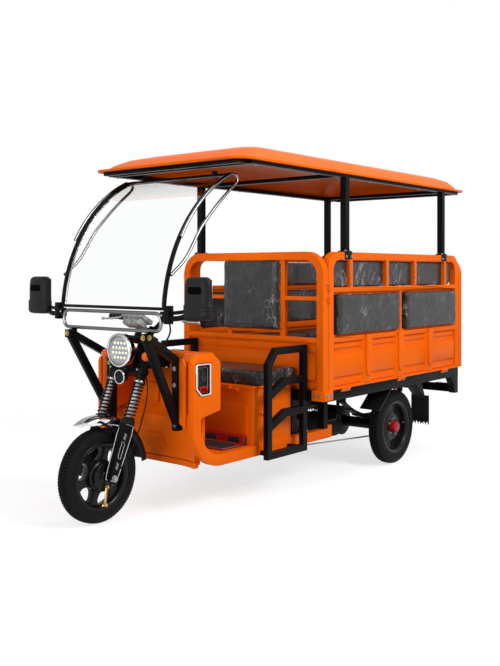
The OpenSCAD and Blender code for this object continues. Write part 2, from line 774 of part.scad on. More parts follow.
module bench_bases() {
    x = [-body_rear + 20, body_front - 64];
    y = [bench_in, half_body - wall_t - 6];
    top = bench_top - 60;
    color(dark) in_frame() both_sides() {
        block([x[0], y[0], top - 12], [x[1], y[1], top]);
        block([x[0], y[0] + 20, bed_z], [x[1], y[0] + 32, top - 12]);
        for (ex = [x[0], (x[0] + x[1]) / 2, x[1] - 12]) block([ex, y[0] + 20, bed_z], [ex + 12, y[1],
            top - 12]);
    }
}

module bench_cushions() {
    x = [-body_rear + 20, body_front - 64];
    y = [bench_in - 5, half_body - wall_t - 8];
    z = [bench_top - 60 + seat_gap, bench_top];
    mid = (x[0] + x[1]) / 2;
    color(dark) in_frame() both_sides() plan_slab(z[0], z[1]) {
        round_rect([x[0], y[0]], [mid - 3, y[1]], 25);
        round_rect([mid + 3, y[0]], [x[1], y[1]], 25);
    }
}

module tailgate() {
    x = [gate_x - wall_t, gate_x];
    in_y = half_body - wall_t;
    low = bed_z + 3;
    h = gate_hinge;
    color(orange) in_frame() difference() {
        union() {
            front_slab(x[0], x[1]) difference() {
                arch_rect([-half_body, low], [half_body, body_top], 130);
                arch_rect([-in_y, rail_low], [in_y, body_top - wall_t], 90);
                translate([-in_y, low + 14]) square([2 * in_y, rail_low - 28 - low - 14]);
            }
            front_slab(x[0] + 18, x[1] - 10) translate([-in_y, low + 14]) square([2 * in_y,
                rail_low - 28 - low - 14]);
            for (b = [[low + 20, low + 42, 6], [low + 70, rail_low - 98, 12], [rail_low - 66,
                rail_low - 40, 6]])
                block([x[0] + 18 - b[2], -in_y + 10, b[0]], [x[0] + 18, in_y - 10, b[1]]);
            block([x[0] + 8, -in_y, 1062], [x[1] - 8, in_y, 1090]);
            for (y = [-240, 0, 240]) block([x[0] + 8, y - 14, rail_low], [x[1] - 8, y + 14,
                body_top - wall_t]);
            for (y = hinge_ys) {
                translate([h[0], y + knuckle_w / 2, h[1]]) rotate([90, 0, 0]) cylinder(d = 24,
                    h = knuckle_w);
                block([h[0] - 12, y - knuckle_w / 2, h[1]], [h[0] + 12, y + knuckle_w / 2, low + 10]);
            }
        }
        for (y = hinge_ys)
            translate([h[0], y + knuckle_w, h[1]]) rotate([90, 0, 0])
                cylinder(d = gate_pin_d + 2 * run, h = 2 * knuckle_w);
    }
}

// Roof

module roof_slab(side, front, rear, z, t) {
    plan_slab(z, z + t) round_rect([-roof_tail + rear, -half_roof + side], [roof_front - front,
        half_roof - side], roof_r);
}

// The raised crown, from an inset of the lip and lowered by a drop
module roof_crown(inset, drop) {
    hull($fn = 32) for (s = crown_steps)
        roof_slab(s[0] + inset, s[1] + inset, s[2] + inset, brim_z + crown_h * s[3] - drop, 1);
}

module roof_shell() {
    color(orange) in_frame() difference() {
        union() {
            roof_slab(0, 0, 0, brim_z, lip_t);
            roof_crown(lip_w + 2, 0);
        }
        roof_slab(lip_w, lip_w, lip_w, brim_z - 1, frame_top_z - brim_z + 1 + seat_gap);
        roof_crown(lip_w + 8, 9);
    }
}

module roof_frame() {
    y = half_body - wall_t / 2;
    out_y = half_roof - lip_w - seat_gap;
    z = [frame_top_z - frame_h, frame_top_z];
    end_in = 50;
    corner = roof_r + lip_w;
    end_y = half_roof - corner + sqrt(pow(roof_r, 2) - pow(corner - end_in, 2)) - seat_gap;
    ends = [-roof_tail + end_in, roof_front - end_in];
    screen_top = on_screen(screen_r, screen_high);
    foot = 74;
    color(black) in_frame() {
        pair([ends[0], y - 16, z[0]], [ends[1], end_y, z[1]]);
        pair([-roof_tail + corner, y - 16, z[0]], [roof_front - corner, out_y, z[1]]);
        for (x = [ends[0], -605, 715, ends[1] - 30])
            block([x, -y + 16, z[0]], [x + 30, y - 16, z[1]]);
        block([screen_top[0] - 16, -y + 16, z[0]], [screen_top[0] + 16, y - 16, z[1]]);
        for (p = post_xs, s = [0, 1]) mirror([0, s, 0]) {
            block([p[s] - post_w / 2, y - post_w / 2, body_top], [p[s] + post_w / 2, y + post_w / 2, z[0]]);
            block([p[s] - foot / 2, y - wall_t / 2, body_top], [p[s] + foot / 2, y + wall_t / 2,
                body_top + 8]);
        }
    }
}

// Rear axle and running gear

module rear_axle() {
    hub_y = half_track - rear_tyre_w / 2;
    color(black) in_frame() translate([0, 0, rear_r]) rotate([-90, 0, 0]) {
        translate([0, 0, -hub_y + 40]) cylinder(d = 68, h = 2 * (hub_y - 40));
        translate([0, 0, -95]) cylinder(d = 190, h = 150);
        translate([0, -40, -60]) cube([motor_x - motor_d / 2 - seat_gap, 80, 90]);
        for (s = [0, 1]) mirror([0, 0, s]) {
            translate([0, 0, hub_y - 42]) cylinder(d = 196, h = 30);
            translate([0, 0, hub_y - 20]) cylinder(d = axle_d + 16, h = 24);
            translate([0, 0, hub_y]) cylinder(d = axle_d, h = rear_tyre_w / 2 + 38);
        }
    }
}

module drive_motor() {
    color(steel) in_frame() translate([motor_x, 0, rear_r]) rotate([-90, 0, 0]) {
        translate([0, 0, -90]) cylinder(d = motor_d, h = 200);
        translate([0, 0, 110]) cylinder(d = motor_d - 50, h = 22);
    }
}

module leaf_springs() {
    base = rear_r + 36;
    zc = base + leaf_c;
    // leaves from the lowest one: half angle
    spans = [12, 20, 28, 37];
    eye_r = leaf_c - leaf_t * len(spans) + leaf_t / 2;
    color(dark) in_frame() both_sides() side_slab(leaf_y - 22, leaf_y + 22) {
        for (i = [0 : len(spans) - 1]) translate([0, zc]) intersection() {
            difference() {
                circle(leaf_c - leaf_t * i, $fn = 180);
                circle(leaf_c - leaf_t * (i + 1), $fn = 180);
            }
            polygon([[0, 0], [-900 * sin(spans[i]), -900 * cos(spans[i])], [900 * sin(spans[i]),
                -900 * cos(spans[i])]]);
        }
        for (s = [-1, 1]) {
            translate([s * eye_r * sin(37), zc - eye_r * cos(37)]) circle(13);
            translate([s * eye_r * sin(37) - 12, zc - eye_r * cos(37)])
                square([24, rail_top - rail_h - zc + eye_r * cos(37)]);
        }
        translate([-45, rear_r + 34]) square([90, 2.2]);
    }
}

module mudguards() {
    out = max(half_body - 10, half_track + rear_tyre_w / 2 + 10);
    in = half_track - rear_tyre_w / 2 - 4;
    flap_x = -rear_r - 110;
    color(black) in_frame() both_sides() {
        // slanted plate ahead of the wheel
        side_slab(in, out - 1) polygon([[rear_r - 84, rail_top], [rear_r - 72, rail_top], [rear_r + 74,
            380], [rear_r + 62, 376]]);
        // bracket and flap behind the wheel
        side_slab(in + 30, out - 30) polygon([[flap_x + 60, rail_top], [flap_x + 150, rail_top],
            [flap_x + 8, 380], [flap_x, 380]]);
        front_slab(flap_x, flap_x + 6) polygon(concat([[out - 4, 400], [in + 6, 400]],
            [for (i = [0 : 10]) [in + 6 + i * (out - in - 10) / 10, 212 + 14 * (i % 2)]]));
    }
}

module tail_lamps() {
    color(red) in_frame() both_sides()
        front_slab(-body_rear - 26, -body_rear) round_rect([350, 396], [460, 440], 10);
}

module brake_rod() {
    drum_y = half_track - rear_tyre_w / 2 - 42 - seat_gap;
    hanger_y = rail_y - rail_w / 2 - 30;
    front = [seat_front - 150, hanger_y, sill_z - 14];
    color(steel) in_frame() {
        rod([60, drum_y - 5, rear_r - 60], front, 9);
        block([front[0] - 16, hanger_y - 4, sill_z - 21], [front[0] - 2, hanger_y + 4,
            floor_top - floor_t - seat_gap]);
        block([50, drum_y - 9, rear_r - 70], [62, drum_y, rear_r + 10]);
    }
}

// Steering

// The dark tubes over the upper part of the legs, grown by a clearance
module shrouds(grow) {
    s0 = spring_s + spring_l + 2;
    fork() for (y = [-leg_y, leg_y]) translate([0, y, s0])
        cylinder(d = shroud_d + 2 * grow, h = upper_yoke_s + yoke_t - s0);
}

module fork_yokes() {
    sx = -yoke_offset;
    color(black) in_frame() {
        shrouds(0);
        fork() {
            for (s = [lower_yoke_s, upper_yoke_s]) translate([0, 0, s]) linear_extrude(yoke_t) {
                polygon([[sx - 18, -26], [-14, -leg_y], [20, -leg_y], [20, leg_y], [-14, leg_y],
                    [sx - 18, 26]]);
                translate([sx, 0]) circle(d = stem_d + 32);
                for (y = [-leg_y, leg_y]) translate([0, y]) circle(d = shroud_d + 14);
            }
            translate([sx, 0, lower_yoke_s])
                cylinder(d = stem_d, h = upper_yoke_s - lower_yoke_s + yoke_t + 12);
        }
    }
}

module fork_stanchions() {
    color(chrome) in_frame() fork() for (y = [-leg_y, leg_y])
        translate([0, y, spring_s]) cylinder(d = stanchion_d, h = spring_l + 2);
}

coil_turns = 10;
coil_steps = 14;
coil_wire = 9;

module fork_springs() {
    r = (spring_d - coil_wire) / 2;
    z0 = spring_s + coil_wire / 2;
    rise = spring_l - coil_wire;
    path = [for (i = [0 : coil_turns * coil_steps]) let (a = 360 * i / coil_steps)
        [r * cos(a), r * sin(a), z0 + rise * i / (coil_turns * coil_steps)]];
    color(black) in_frame() fork() for (y = [-leg_y, leg_y])
        translate([0, y, 0]) bent_tube(path, coil_wire, n = 6);
}

module fork_legs() {
    top = spring_s;
    color(black) in_frame() fork() {
        for (y = [-leg_y, leg_y]) difference() {
            union() {
                side_slab(y - 20, y + 20)
                    polygon([[-20, -22], [20, -22], [26, 30], [34, top - 70], [30, top - 20], [-30,
                        top - 20],
                        [-34, top - 70], [-26, 30]]);
                translate([0, y, top - 20]) cylinder(d = spring_d + 6, h = 20);
            }
            translate([0, y + 30, 0]) rotate([90, 0, 0]) cylinder(d = axle_d + 2 * run, h = 60);
        }
        // tabs that carry the mudguard
        pair([-14, guard_w / 2, top - 36], [14, leg_y - 10, top - 4]);
    }
}

function other_side(p) = [p[0], -p[1], p[2]];

module handlebar() {
    half = [bar_end, bar_knee, [1758, 120, bar_z], [bar_mid[0], 60, bar_mid[1]]];
    path = concat(half, [for (i = [3 : -1 : 0]) other_side(half[i])]);
    color(black) in_frame() {
        bent_tube(bend(path, 24), bar_d);
        fork() for (y = [-45, 45])
            translate([-yoke_offset - 2, y - 9, upper_yoke_s + yoke_t]) cube([30, 18, 66]);
    }
}

module hand_grips() {
    run_out = bar_knee - bar_end;
    color(rubber) in_frame() both_sides() difference() {
        rod(bar_end + 0.03 * run_out, bar_end + 0.78 * run_out, 32);
        rod(bar_end, bar_knee, bar_d + 2 * seat_gap);
    }
}

module instrument() {
    color(steel) in_frame() {
        translate([1832, 0, 984]) rotate([0, -28, 0]) {
            block([-52, -70, -14], [52, 70, 14]);
            block([-44, -60, 14], [44, 60, 20]);
        }
        block([bar_mid[0] + 11 + seat_gap, -20, bar_mid[1] - 8], [bar_mid[0] + 30, 20, bar_mid[1] + 48]);
    }
}

light_c = [1957, 830];

module headlight() {
    r = headlight_d / 2;
    color(black) in_frame() {
        translate([light_c[0], 0, light_c[1]]) rotate([0, -90, 0]) rotate_extrude() polygon([[0, 12],
            [r - 12, 12],
            [r - 12, 0], [r, 0], [r, 22], [r - 10, 34], [r - 26, 66], [r - 50, 84], [0, 90]]);
        // ears back to the fork tubes
        difference() {
            both_sides() block([light_c[0] - 92, r - 14, light_c[1] - 10], [light_c[0] - 14, r + 4,
                light_c[1] + 10]);
            shrouds(seat_gap);
        }
    }
}

module headlight_lens() {
    r = headlight_d / 2 - 12 - seat_gap;
    color(clear) in_frame() translate([light_c[0], 0, light_c[1]]) rotate([0, -90, 0]) rotate_extrude()
        polygon([[0, -9], [r * 0.5, -7], [r * 0.85, -2], [r, 3], [r, 12 - seat_gap], [0, 12 - seat_gap]]);
}

module horn() {
    color(dark) in_frame() {
        translate([1952, 0, 697]) rotate([0, -90, 0]) rotate_extrude()
            polygon([[0, 0], [28, 0], [28, -4], [35, -4], [35, 14], [26, 34], [0, 38]]);
        fork() block([20 + seat_gap, -10, lower_yoke_s - 15], [26, 10, lower_yoke_s + 20]);
    }
}

module indicators() {
    ball = [1911, 147, 803];
    color(amber) in_frame() difference() {
        both_sides() {
            translate(ball) sphere(d = 46);
            rod([1862, 108, 800], ball, 12);
        }
        shrouds(seat_gap);
    }
}

guard_r = 285;
guard_w = 112;

module mudguard_arc(a0, a1, w) {
    translate([wheelbase, 0, front_r]) rotate([90, 0, 0]) rotate([0, 0, a0])
        rotate_extrude(angle = a1 - a0, $fn = 96) {
            translate([guard_r, -w / 2]) square([4, w]);
            for (s = [-w / 2, w / 2 - 4]) translate([guard_r - 16, s]) square([18, 4]);
        }
}

module front_mudguard() { color(chrome) in_frame() mudguard_arc(58, 122, guard_w); }

module front_flap() { color(black) in_frame() mudguard_arc(122.2, 172, guard_w - 8); }

module front_brake() {
    color(gold) in_frame() translate([wheelbase, 0, front_r]) rotate([-90, 0, 0]) {
        translate([0, 0, -leg_y - 34]) cylinder(d = axle_d, h = leg_gap + 68);
        difference() {
            translate([0, 0, 47]) cylinder(d = 140, h = 14);
            translate([0, 0, 40]) cylinder(d = axle_d - 2, h = 30);
        }
        translate([-62, -10, 60]) cube([70, 20, 8]);
    }
}

// Wheels, drawn about the origin with their axis along Y

module tyre(d, w) {
    r = d / 2;
    bead = rim_d / 2 - 8;
    shoulder = w / 2;
    rotate([90, 0, 0]) rotate_extrude($fn = 96) difference() {
        union() {
            translate([r - shoulder, 0]) circle(shoulder);
            translate([bead, -shoulder + 10]) square([r - shoulder - bead, w - 20]);
            translate([bead + 14, -shoulder + 3]) square([r - shoulder - bead - 14, w - 6]);
        }
        translate([0, -w]) square([bead, 2 * w]);
    }
}

module rim_ring(w) {
    r = rim_d / 2;
    bead = r - 8 - seat_gap;
    rotate([90, 0, 0]) rotate_extrude($fn = 96)
        polygon([[bead - 14, -w / 2 + 14], [bead, -w / 2 + 14], [bead, w / 2 - 14], [bead - 14,
            w / 2 - 14]]);
}

module front_rim() {
    spokes = 6;
    hub_r = 78;
    bead = rim_d / 2 - 12;
    color(black) in_frame() translate([wheelbase, 0, front_r]) difference() {
        union() {
            rim_ring(front_tyre_w);
            rotate([90, 0, 0]) translate([0, 0, -42]) cylinder(r = hub_r, h = 84);
            for (i = [0 : spokes - 1]) rotate([0, 360 * i / spokes, 0])
                block([hub_r - 10, -12, -22], [bead - 4, 12, 22]);
        }
        rotate([90, 0, 0]) cylinder(d = axle_d + 2 * run, h = 200, center = true);
    }
}

module rear_rim(side) {
    color(black) in_frame() translate([0, side * half_track, rear_r]) difference() {
        union() {
            rim_ring(rear_tyre_w);
            rotate([-90 * side, 0, 0]) {
                rotate_extrude($fn = 96) polygon([[0, 2], [50, 2], [74, 10], [100, -4],
                    [rim_d / 2 - 14, -4],
                    [rim_d / 2 - 14, -12], [94, -12], [70, 0], [50, -8], [0, -8]]);
                translate([0, 0, -30]) cylinder(d = 90, h = 36);
                translate([0, 0, 2]) cylinder(d = 72, h = 46);
                for (i = [0 : 4]) rotate([0, 0, 72 * i]) translate([52, 0, 2]) cylinder(d = 16, h = 16,
                    $fn = 6);
            }
        }
        rotate([-90 * side, 0, 0]) {
            translate([0, 0, -60]) cylinder(d = axle_d + 2 * run, h = 60 + 40);
            for (i = [0 : 9]) rotate([0, 0, 36 * i]) translate([118, 0, -20]) cylinder(d = 20, h = 30);
        }
    }
}

module front_tyre() { color(rubber) in_frame() translate([wheelbase, 0, front_r]) tyre(front_tyre_d,
    front_tyre_w); }

module rear_tyre(side) { color(rubber) in_frame() translate([0, side * half_track, rear_r])
    tyre(rear_tyre_d, rear_tyre_w); }

chassis_frame();
bed_frame();
rear_bumper();
corner_posts();
sill_hoops();
front_wall();
floor_plate();
floor_mat();
lamp_bezels();
lamp_lenses();
screen_struts();
screen_frame();
windscreen();
screen_braces();
mirrors();
mirror_glass();
seat_box();
battery_pack();
driver_backrest();
side_guards();
bed_floor();
front_arch();
left_wall();
right_wall();
upper_pads();
back_pads();
bench_bases();
bench_cushions();
roof_shell();
roof_frame();
rear_axle();
drive_motor();
leaf_springs();
mudguards();
tail_lamps();
brake_rod();
tailgate();
seat_lid();
seat_cushion();
fork_yokes();
fork_stanchions();
fork_springs();
fork_legs();
handlebar();
hand_grips();
instrument();
headlight();
headlight_lens();
horn();
indicators();
front_mudguard();
front_flap();
front_brake();
front_tyre();
front_rim();
rear_tyre(1);  // rear_tyre_left
rear_rim(1);  // rear_rim_left
rear_tyre(-1);  // rear_tyre_right
rear_rim(-1);  // rear_rim_right
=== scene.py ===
import json
import math

import bmesh
import bpy
from mathutils import Matrix, Vector, noise

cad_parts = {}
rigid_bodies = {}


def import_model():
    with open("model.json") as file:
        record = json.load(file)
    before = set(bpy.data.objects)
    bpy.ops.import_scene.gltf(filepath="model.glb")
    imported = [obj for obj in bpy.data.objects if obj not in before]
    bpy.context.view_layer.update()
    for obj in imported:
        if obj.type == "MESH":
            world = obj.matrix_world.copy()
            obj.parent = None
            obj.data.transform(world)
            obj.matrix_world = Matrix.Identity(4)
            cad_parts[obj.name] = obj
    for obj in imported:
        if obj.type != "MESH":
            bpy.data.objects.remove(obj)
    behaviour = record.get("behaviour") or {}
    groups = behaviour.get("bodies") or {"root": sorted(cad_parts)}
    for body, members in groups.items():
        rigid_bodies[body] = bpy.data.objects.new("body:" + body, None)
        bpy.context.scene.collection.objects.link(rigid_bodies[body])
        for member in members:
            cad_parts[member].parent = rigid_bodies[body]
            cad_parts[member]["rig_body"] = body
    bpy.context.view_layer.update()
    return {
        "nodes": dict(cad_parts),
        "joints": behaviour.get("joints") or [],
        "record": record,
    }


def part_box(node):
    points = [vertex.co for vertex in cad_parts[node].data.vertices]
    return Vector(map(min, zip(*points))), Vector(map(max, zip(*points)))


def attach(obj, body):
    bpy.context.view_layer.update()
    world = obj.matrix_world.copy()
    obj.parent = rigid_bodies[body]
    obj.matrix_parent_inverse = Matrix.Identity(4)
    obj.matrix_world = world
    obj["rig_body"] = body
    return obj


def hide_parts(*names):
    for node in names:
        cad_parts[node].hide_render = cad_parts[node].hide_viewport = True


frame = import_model()

# Places taken from the frame, metres
JOINTS = {joint["name"]: joint for joint in frame["joints"]}
FRONT_AXLE = Vector(JOINTS["front_wheel_spin"]["pos_m"])
REAR_WHEELS = {side: Vector(JOINTS[f"rear_wheel_{side}_spin"]["pos_m"]) for side in ("left", "right")}
AXLE_X = REAR_WHEELS["left"].x
STEER_AXIS = Vector(JOINTS["steer"]["axis"])
RAKE = math.atan2(-STEER_AXIS.x, STEER_AXIS.z)
FORK = Matrix.Translation(FRONT_AXLE) @ Matrix.Rotation(-RAKE, 4, "Y")
SLOT_OF = {part["node"]: part["material_slot"] for part in frame["record"]["subparts"]}
SIDES = (1, -1)
AHEAD, ACROSS, UP = Vector((1, 0, 0)), Vector((0, 1, 0)), Vector((0, 0, 1))
UP_LEG = FORK.to_3x3() @ UP


def mm(x, y, z):
    """A vector given in millimetres."""
    return Vector((x / 1000, y / 1000, z / 1000))


def at(x, y, z):
    """A point given in millimetres: ahead of the rear axle, to the left, up."""
    return Vector((AXLE_X + x / 1000, y / 1000, z / 1000))


def on_fork(x, y, z):
    """A point given in millimetres in the fork's own frame, whose Z runs up along the legs."""
    return FORK @ mm(x, y, z)


def turn_to(direction):
    return Vector(direction).to_track_quat("Z", "Y").to_matrix().to_4x4()


def flipped(outline):
    """A half outline's other half, which leads back to its start."""
    return [(a, -b) for a, b in reversed(outline)]


def mirrored(points):
    """A half path's other half, on the right."""
    return [Vector((p.x, -p.y, p.z)) for p in reversed(points)]


def round_path(points, radius, steps=6):
    """Turns each inner corner of a path into a curve that starts a radius, in millimetres, before it."""
    points = [Vector(p) for p in points]
    path = [points[0]]
    for before, corner, after in zip(points, points[1:], points[2:]):
        a, b = (corner + (end - corner).normalized() * min(radius / 1000, (end - corner).length / 2)
                for end in (before, after))
        for i in range(steps + 1):
            t = i / steps
            path.append(a * (1 - t) ** 2 + corner * 2 * t * (1 - t) + b * t ** 2)
    return path + [points[-1]]


def closed_path(points, radius, steps=4):
    """A closed path with its corners rounded."""
    return round_path([points[-1], *points, points[0]], radius, steps)[1:-1]


def new_object(name, mesh):
    made = bpy.data.objects.new(name, mesh)
    bpy.context.scene.collection.objects.link(made)
    return made


class Shape:
    """A mesh in the making, which ends as a piece. Places are in metres, and sizes in millimetres."""

    def __init__(self, node=None):
        """Starts empty, or from a merged copy of a CAD node's mesh."""
        self.bm = bmesh.new()
        if node:
            self.bm.from_mesh(frame["nodes"][node].data)
            bmesh.ops.remove_doubles(self.bm, verts=self.bm.verts, dist=1e-5)

    def box(self, low, high, place=Matrix.Identity(4)):
        low, high = Vector(low), Vector(high)
        size = Matrix.Diagonal((*(high - low), 1))
        bmesh.ops.create_cube(self.bm, size=1, matrix=place @ Matrix.Translation((low + high) / 2) @ size)
        return self

    def rod(self, start, end, radius, sides=16, end_radius=None):
        place = Matrix.Translation((start + end) / 2) @ turn_to(end - start)
        tip = radius if end_radius is None else end_radius
        bmesh.ops.create_cone(self.bm, cap_ends=True, segments=sides, radius1=radius / 1000, radius2=tip / 1000,
                              depth=(end - start).length, matrix=place)
        return self

    def bolt(self, place, direction, radius=7, height=6):
        """A domed hexagon bolt on a washer."""
        direction = Vector(direction).normalized()
        self.rod(place, place + direction * 0.0016, radius * 1.5, 20)
        return self.rod(place + direction * 0.0012, place + direction * height / 1000, radius, 6, radius * 0.92)

    def ball(self, centre, radius, rings):
        bmesh.ops.create_uvsphere(self.bm, u_segments=2 * rings, v_segments=rings, radius=radius / 1000,
                                  matrix=Matrix.Translation(centre))
        return self

    def spin(self, profile, centre, axis, steps=48, closed=False):
        """A full spin of (radius, along) pairs about an axis through a point."""
        place = Matrix.Translation(centre) @ turn_to(axis)
        verts = [self.bm.verts.new(place @ mm(r, 0, h)) for r, h in profile]
        ends = verts[1:] + verts[:1] if closed else verts[1:]
        edges = [self.bm.edges.new(pair) for pair in zip(verts, ends)]
        bmesh.ops.spin(self.bm, geom=verts + edges, cent=centre, axis=Vector(axis).normalized(), dvec=(0, 0, 0),
                       angle=2 * math.pi, steps=steps, use_merge=True, use_duplicate=False)
        return self

    def sweep(self, points, centre, angle, steps):
        """A line of points turned by an angle about an axis across the vehicle."""
        verts = [self.bm.verts.new(p) for p in points]
        edges = [self.bm.edges.new(pair) for pair in zip(verts, verts[1:])]
        bmesh.ops.spin(self.bm, geom=verts + edges, cent=centre, axis=-ACROSS, dvec=(0, 0, 0),
                       angle=math.radians(angle), steps=steps, use_duplicate=False)
        return self

    def coil(self, radius, wire, low, high, turns, place, steps, sides):
        """A coil spring: a circle spun round the Z axis while it climbs."""
        ring = bmesh.ops.create_circle(self.bm, segments=sides, radius=wire / 2000, matrix=place @ Matrix.Translation(
            mm(radius, 0, low)) @ Matrix.Rotation(math.pi / 2, 4, "X"))["verts"]
        edges = list({edge for vert in ring for edge in vert.link_edges})
        axis = place.to_3x3() @ UP
        bmesh.ops.spin(self.bm, geom=ring + edges, cent=place.translation, axis=axis, use_duplicate=False,
                       dvec=axis * (high - low) / (1000 * turns * steps), angle=2 * math.pi * turns,
                       steps=turns * steps)
        return self

    def tube(self, points, radius, sides=4, closed=False):
        """A round tube along a path."""
        curve = bpy.data.curves.new("tube", "CURVE")
        curve.dimensions = "3D"
        curve.bevel_depth = radius / 1000
        curve.bevel_resolution = sides
        curve.use_fill_caps = True
        spline = curve.splines.new("POLY")
        spline.points.add(len(points) - 1)
        for point, place in zip(spline.points, points):
            point.co = (*place, 1)
        spline.use_cyclic_u = closed
        holder = bpy.data.objects.new("tube", curve)
        mesh = bpy.data.meshes.new_from_object(holder)
        self.bm.from_mesh(mesh)
        bpy.data.objects.remove(holder)
        bpy.data.curves.remove(curve)
        bpy.data.meshes.remove(mesh)
        return self

    def extrude(self, outline, vector):
        """A closed outline of points pushed along a vector, in millimetres, into a solid."""
        face = self.bm.faces.new([self.bm.verts.new(p) for p in outline])
        made = bmesh.ops.extrude_face_region(self.bm, geom=[face])["geom"]
        self.raised = [v for v in made if isinstance(v, bmesh.types.BMVert)]
        bmesh.ops.translate(self.bm, vec=mm(*vector), verts=self.raised)
        return self

    def loft(self, rings):
        """Closed rings of points bridged into a solid."""
        loops = []
        for ring in rings:
            verts = [self.bm.verts.new(p) for p in ring]
            loops.append([self.bm.edges.new(pair) for pair in zip(verts, verts[1:] + verts[:1])])
        for loop in (loops[0], loops[-1]):
            bmesh.ops.contextual_create(self.bm, geom=loop)
        for pair in zip(loops, loops[1:]):
            bmesh.ops.bridge_loops(self.bm, edges=pair[0] + pair[1])
        return self

    def join(self, other):
        """Adds another shape, which ends there."""
        mesh = bpy.data.meshes.new("joined")
        other.bm.to_mesh(mesh)
        other.bm.free()
        self.bm.from_mesh(mesh)
        bpy.data.meshes.remove(mesh)
        return self

    def outward(self):
        bmesh.ops.recalc_face_normals(self.bm, faces=self.bm.faces)
        return self

    def merge(self):
        bmesh.ops.remove_doubles(self.bm, verts=self.bm.verts, dist=1e-6)
        return self.outward()

    def bevel(self, edges, size, segments):
        bmesh.ops.bevel(self.bm, geom=edges, offset=size / 1000, offset_type="OFFSET", segments=segments, profile=0.5,
                        affect="EDGES", clamp_overlap=True, material=-1)
        return self

    def round(self, size, segments=2, angle=30):
        """Bevels the edges that are sharper than an angle."""
        self.outward()
        limit = math.radians(angle)
        return self.bevel([e for e in self.bm.edges if len(e.link_faces) == 2 and e.calc_face_angle(0) > limit], size,
                          segments)

    def round_along(self, axis, size):
        """Bevels the edges that run along one axis."""
        i = "xyz".index(axis)
        return self.bevel([e for e in self.bm.edges if abs((e.verts[0].co - e.verts[1].co).normalized()[i]) > 0.9],
                          size, 6)

    def mesh(self, name):
        made = bpy.data.meshes.new(name)
        self.bm.to_mesh(made)
        self.bm.free()
        return made

    def piece(self, name, finish, body="chassis", slot=None, replaces=None, smooth=40, tidy=True):
        """An object of this shape, smooth up to an angle, riding on a body."""
        if tidy:
            self.merge()
        for face in self.bm.faces:
            face.smooth = True
        mesh = self.mesh(name)
        mesh.set_sharp_from_angle(angle=math.radians(smooth))
        mesh.materials.append(FINISHES[finish])
        piece = new_object(name, mesh)
        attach(piece, body)
        slot or finish
        if replaces:
            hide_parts(replaces)
        return piece


def dress(node, radius=1.5, finish=None, segments=2):
    """Shows a CAD node through a copy whose edges are rounded, so that they catch the light."""
    piece = Shape(node).piece(f"{node}_skin", finish or SLOT_OF[node], frame["nodes"][node]["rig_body"], SLOT_OF[node],
                              node, 30, tidy=False)
    if radius:
        rounding = piece.modifiers.new("rounded_edges", "BEVEL")
        rounding.width = radius / 1000
        rounding.segments = segments
        rounding.limit_method = "ANGLE"
        rounding.angle_limit = math.radians(32)
        rounding.harden_normals = True
        rounding.miter_outer = "MITER_ARC"


# Shader helpers

def add_node(tree, kind, inputs=None, **settings):
    """A shader node with its settings, and its inputs either linked or set."""
    made = tree.nodes.new(kind)
    for key, value in settings.items():
        setattr(made, key, value)
    for key, value in (inputs or {}).items():
        if isinstance(value, bpy.types.NodeSocket):
            tree.links.new(value, made.inputs[key])
        else:
            made.inputs[key].default_value = value
    return made


def math_node(tree, operation, a, b=0.0):
    return add_node(tree, "ShaderNodeMath", {0: a, 1: b}, operation=operation).outputs[0]


def vector_node(tree, operation, a, b):
    return add_node(tree, "ShaderNodeVectorMath", {0: a, 1: b}, operation=operation).outputs[0]


def mapped(tree, value, start, end, low=0.0, high=1.0, **settings):
    """A value spread from one range to another."""
    return add_node(tree, "ShaderNodeMapRange", {"Value": value, "From Min": start, "From Max": end, "To Min": low,
                                                 "To Max": high}, **settings).outputs[0]


def mixed(tree, share, first, second):
    """A share of the second colour in the first."""
    return add_node(tree, "ShaderNodeMix", {"Factor": share, 6: first, 7: second}, data_type="RGBA").outputs[2]


def object_place(tree):
    return add_node(tree, "ShaderNodeTexCoord").outputs["Object"]


def object_noise(tree, scale, detail=3.0, vector=None):
    return add_node(tree, "ShaderNodeTexNoise", {"Vector": vector or object_place(tree), "Scale": scale,
                                                 "Detail": detail}).outputs["Fac"]


def new_group(name, inputs, outputs):
    """A shader group with its named inputs, a float, vector or colour each, and its named outputs."""
    tree = bpy.data.node_groups.new(name, "ShaderNodeTree")
    kinds = {1: "NodeSocketFloat", 3: "NodeSocketVector", 4: "NodeSocketColor"}
    for label, value in inputs.items():
        kind = kinds[1 if isinstance(value, float) else len(value)]
        tree.interface.new_socket(label, in_out="INPUT", socket_type=kind).default_value = value
    for label in outputs:
        tree.interface.new_socket(label, in_out="OUTPUT", socket_type=kinds[4 if label == "Color" else 1])
    return tree, tree.nodes.new("NodeGroupInput").outputs, tree.nodes.new("NodeGroupOutput").inputs


def make_mottle():
    """Soft patches of a second colour, as on any painted or moulded surface."""
    tree, given, wanted = new_group("colour_mottle", {"Color": (1, 1, 1, 1), "Patch Color": (0, 0, 0, 1), "Scale": 6.0,
                                                      "Amount": 0.2}, ["Color"])
    mask = mapped(tree, object_noise(tree, given["Scale"], 4.0), 0.4, 0.7)
    share = math_node(tree, "MULTIPLY", mask, given["Amount"])
    tree.links.new(mixed(tree, share, given["Color"], given["Patch Color"]), wanted["Color"])
    return tree


def make_grain():
    """Fine even grain: powder coat, moulded plastic, rubber."""
    tree, given, wanted = new_group("fine_grain", {"Scale": 900.0}, ["Height"])
    tree.links.new(object_noise(tree, given["Scale"], 2.0), wanted["Height"])
    return tree


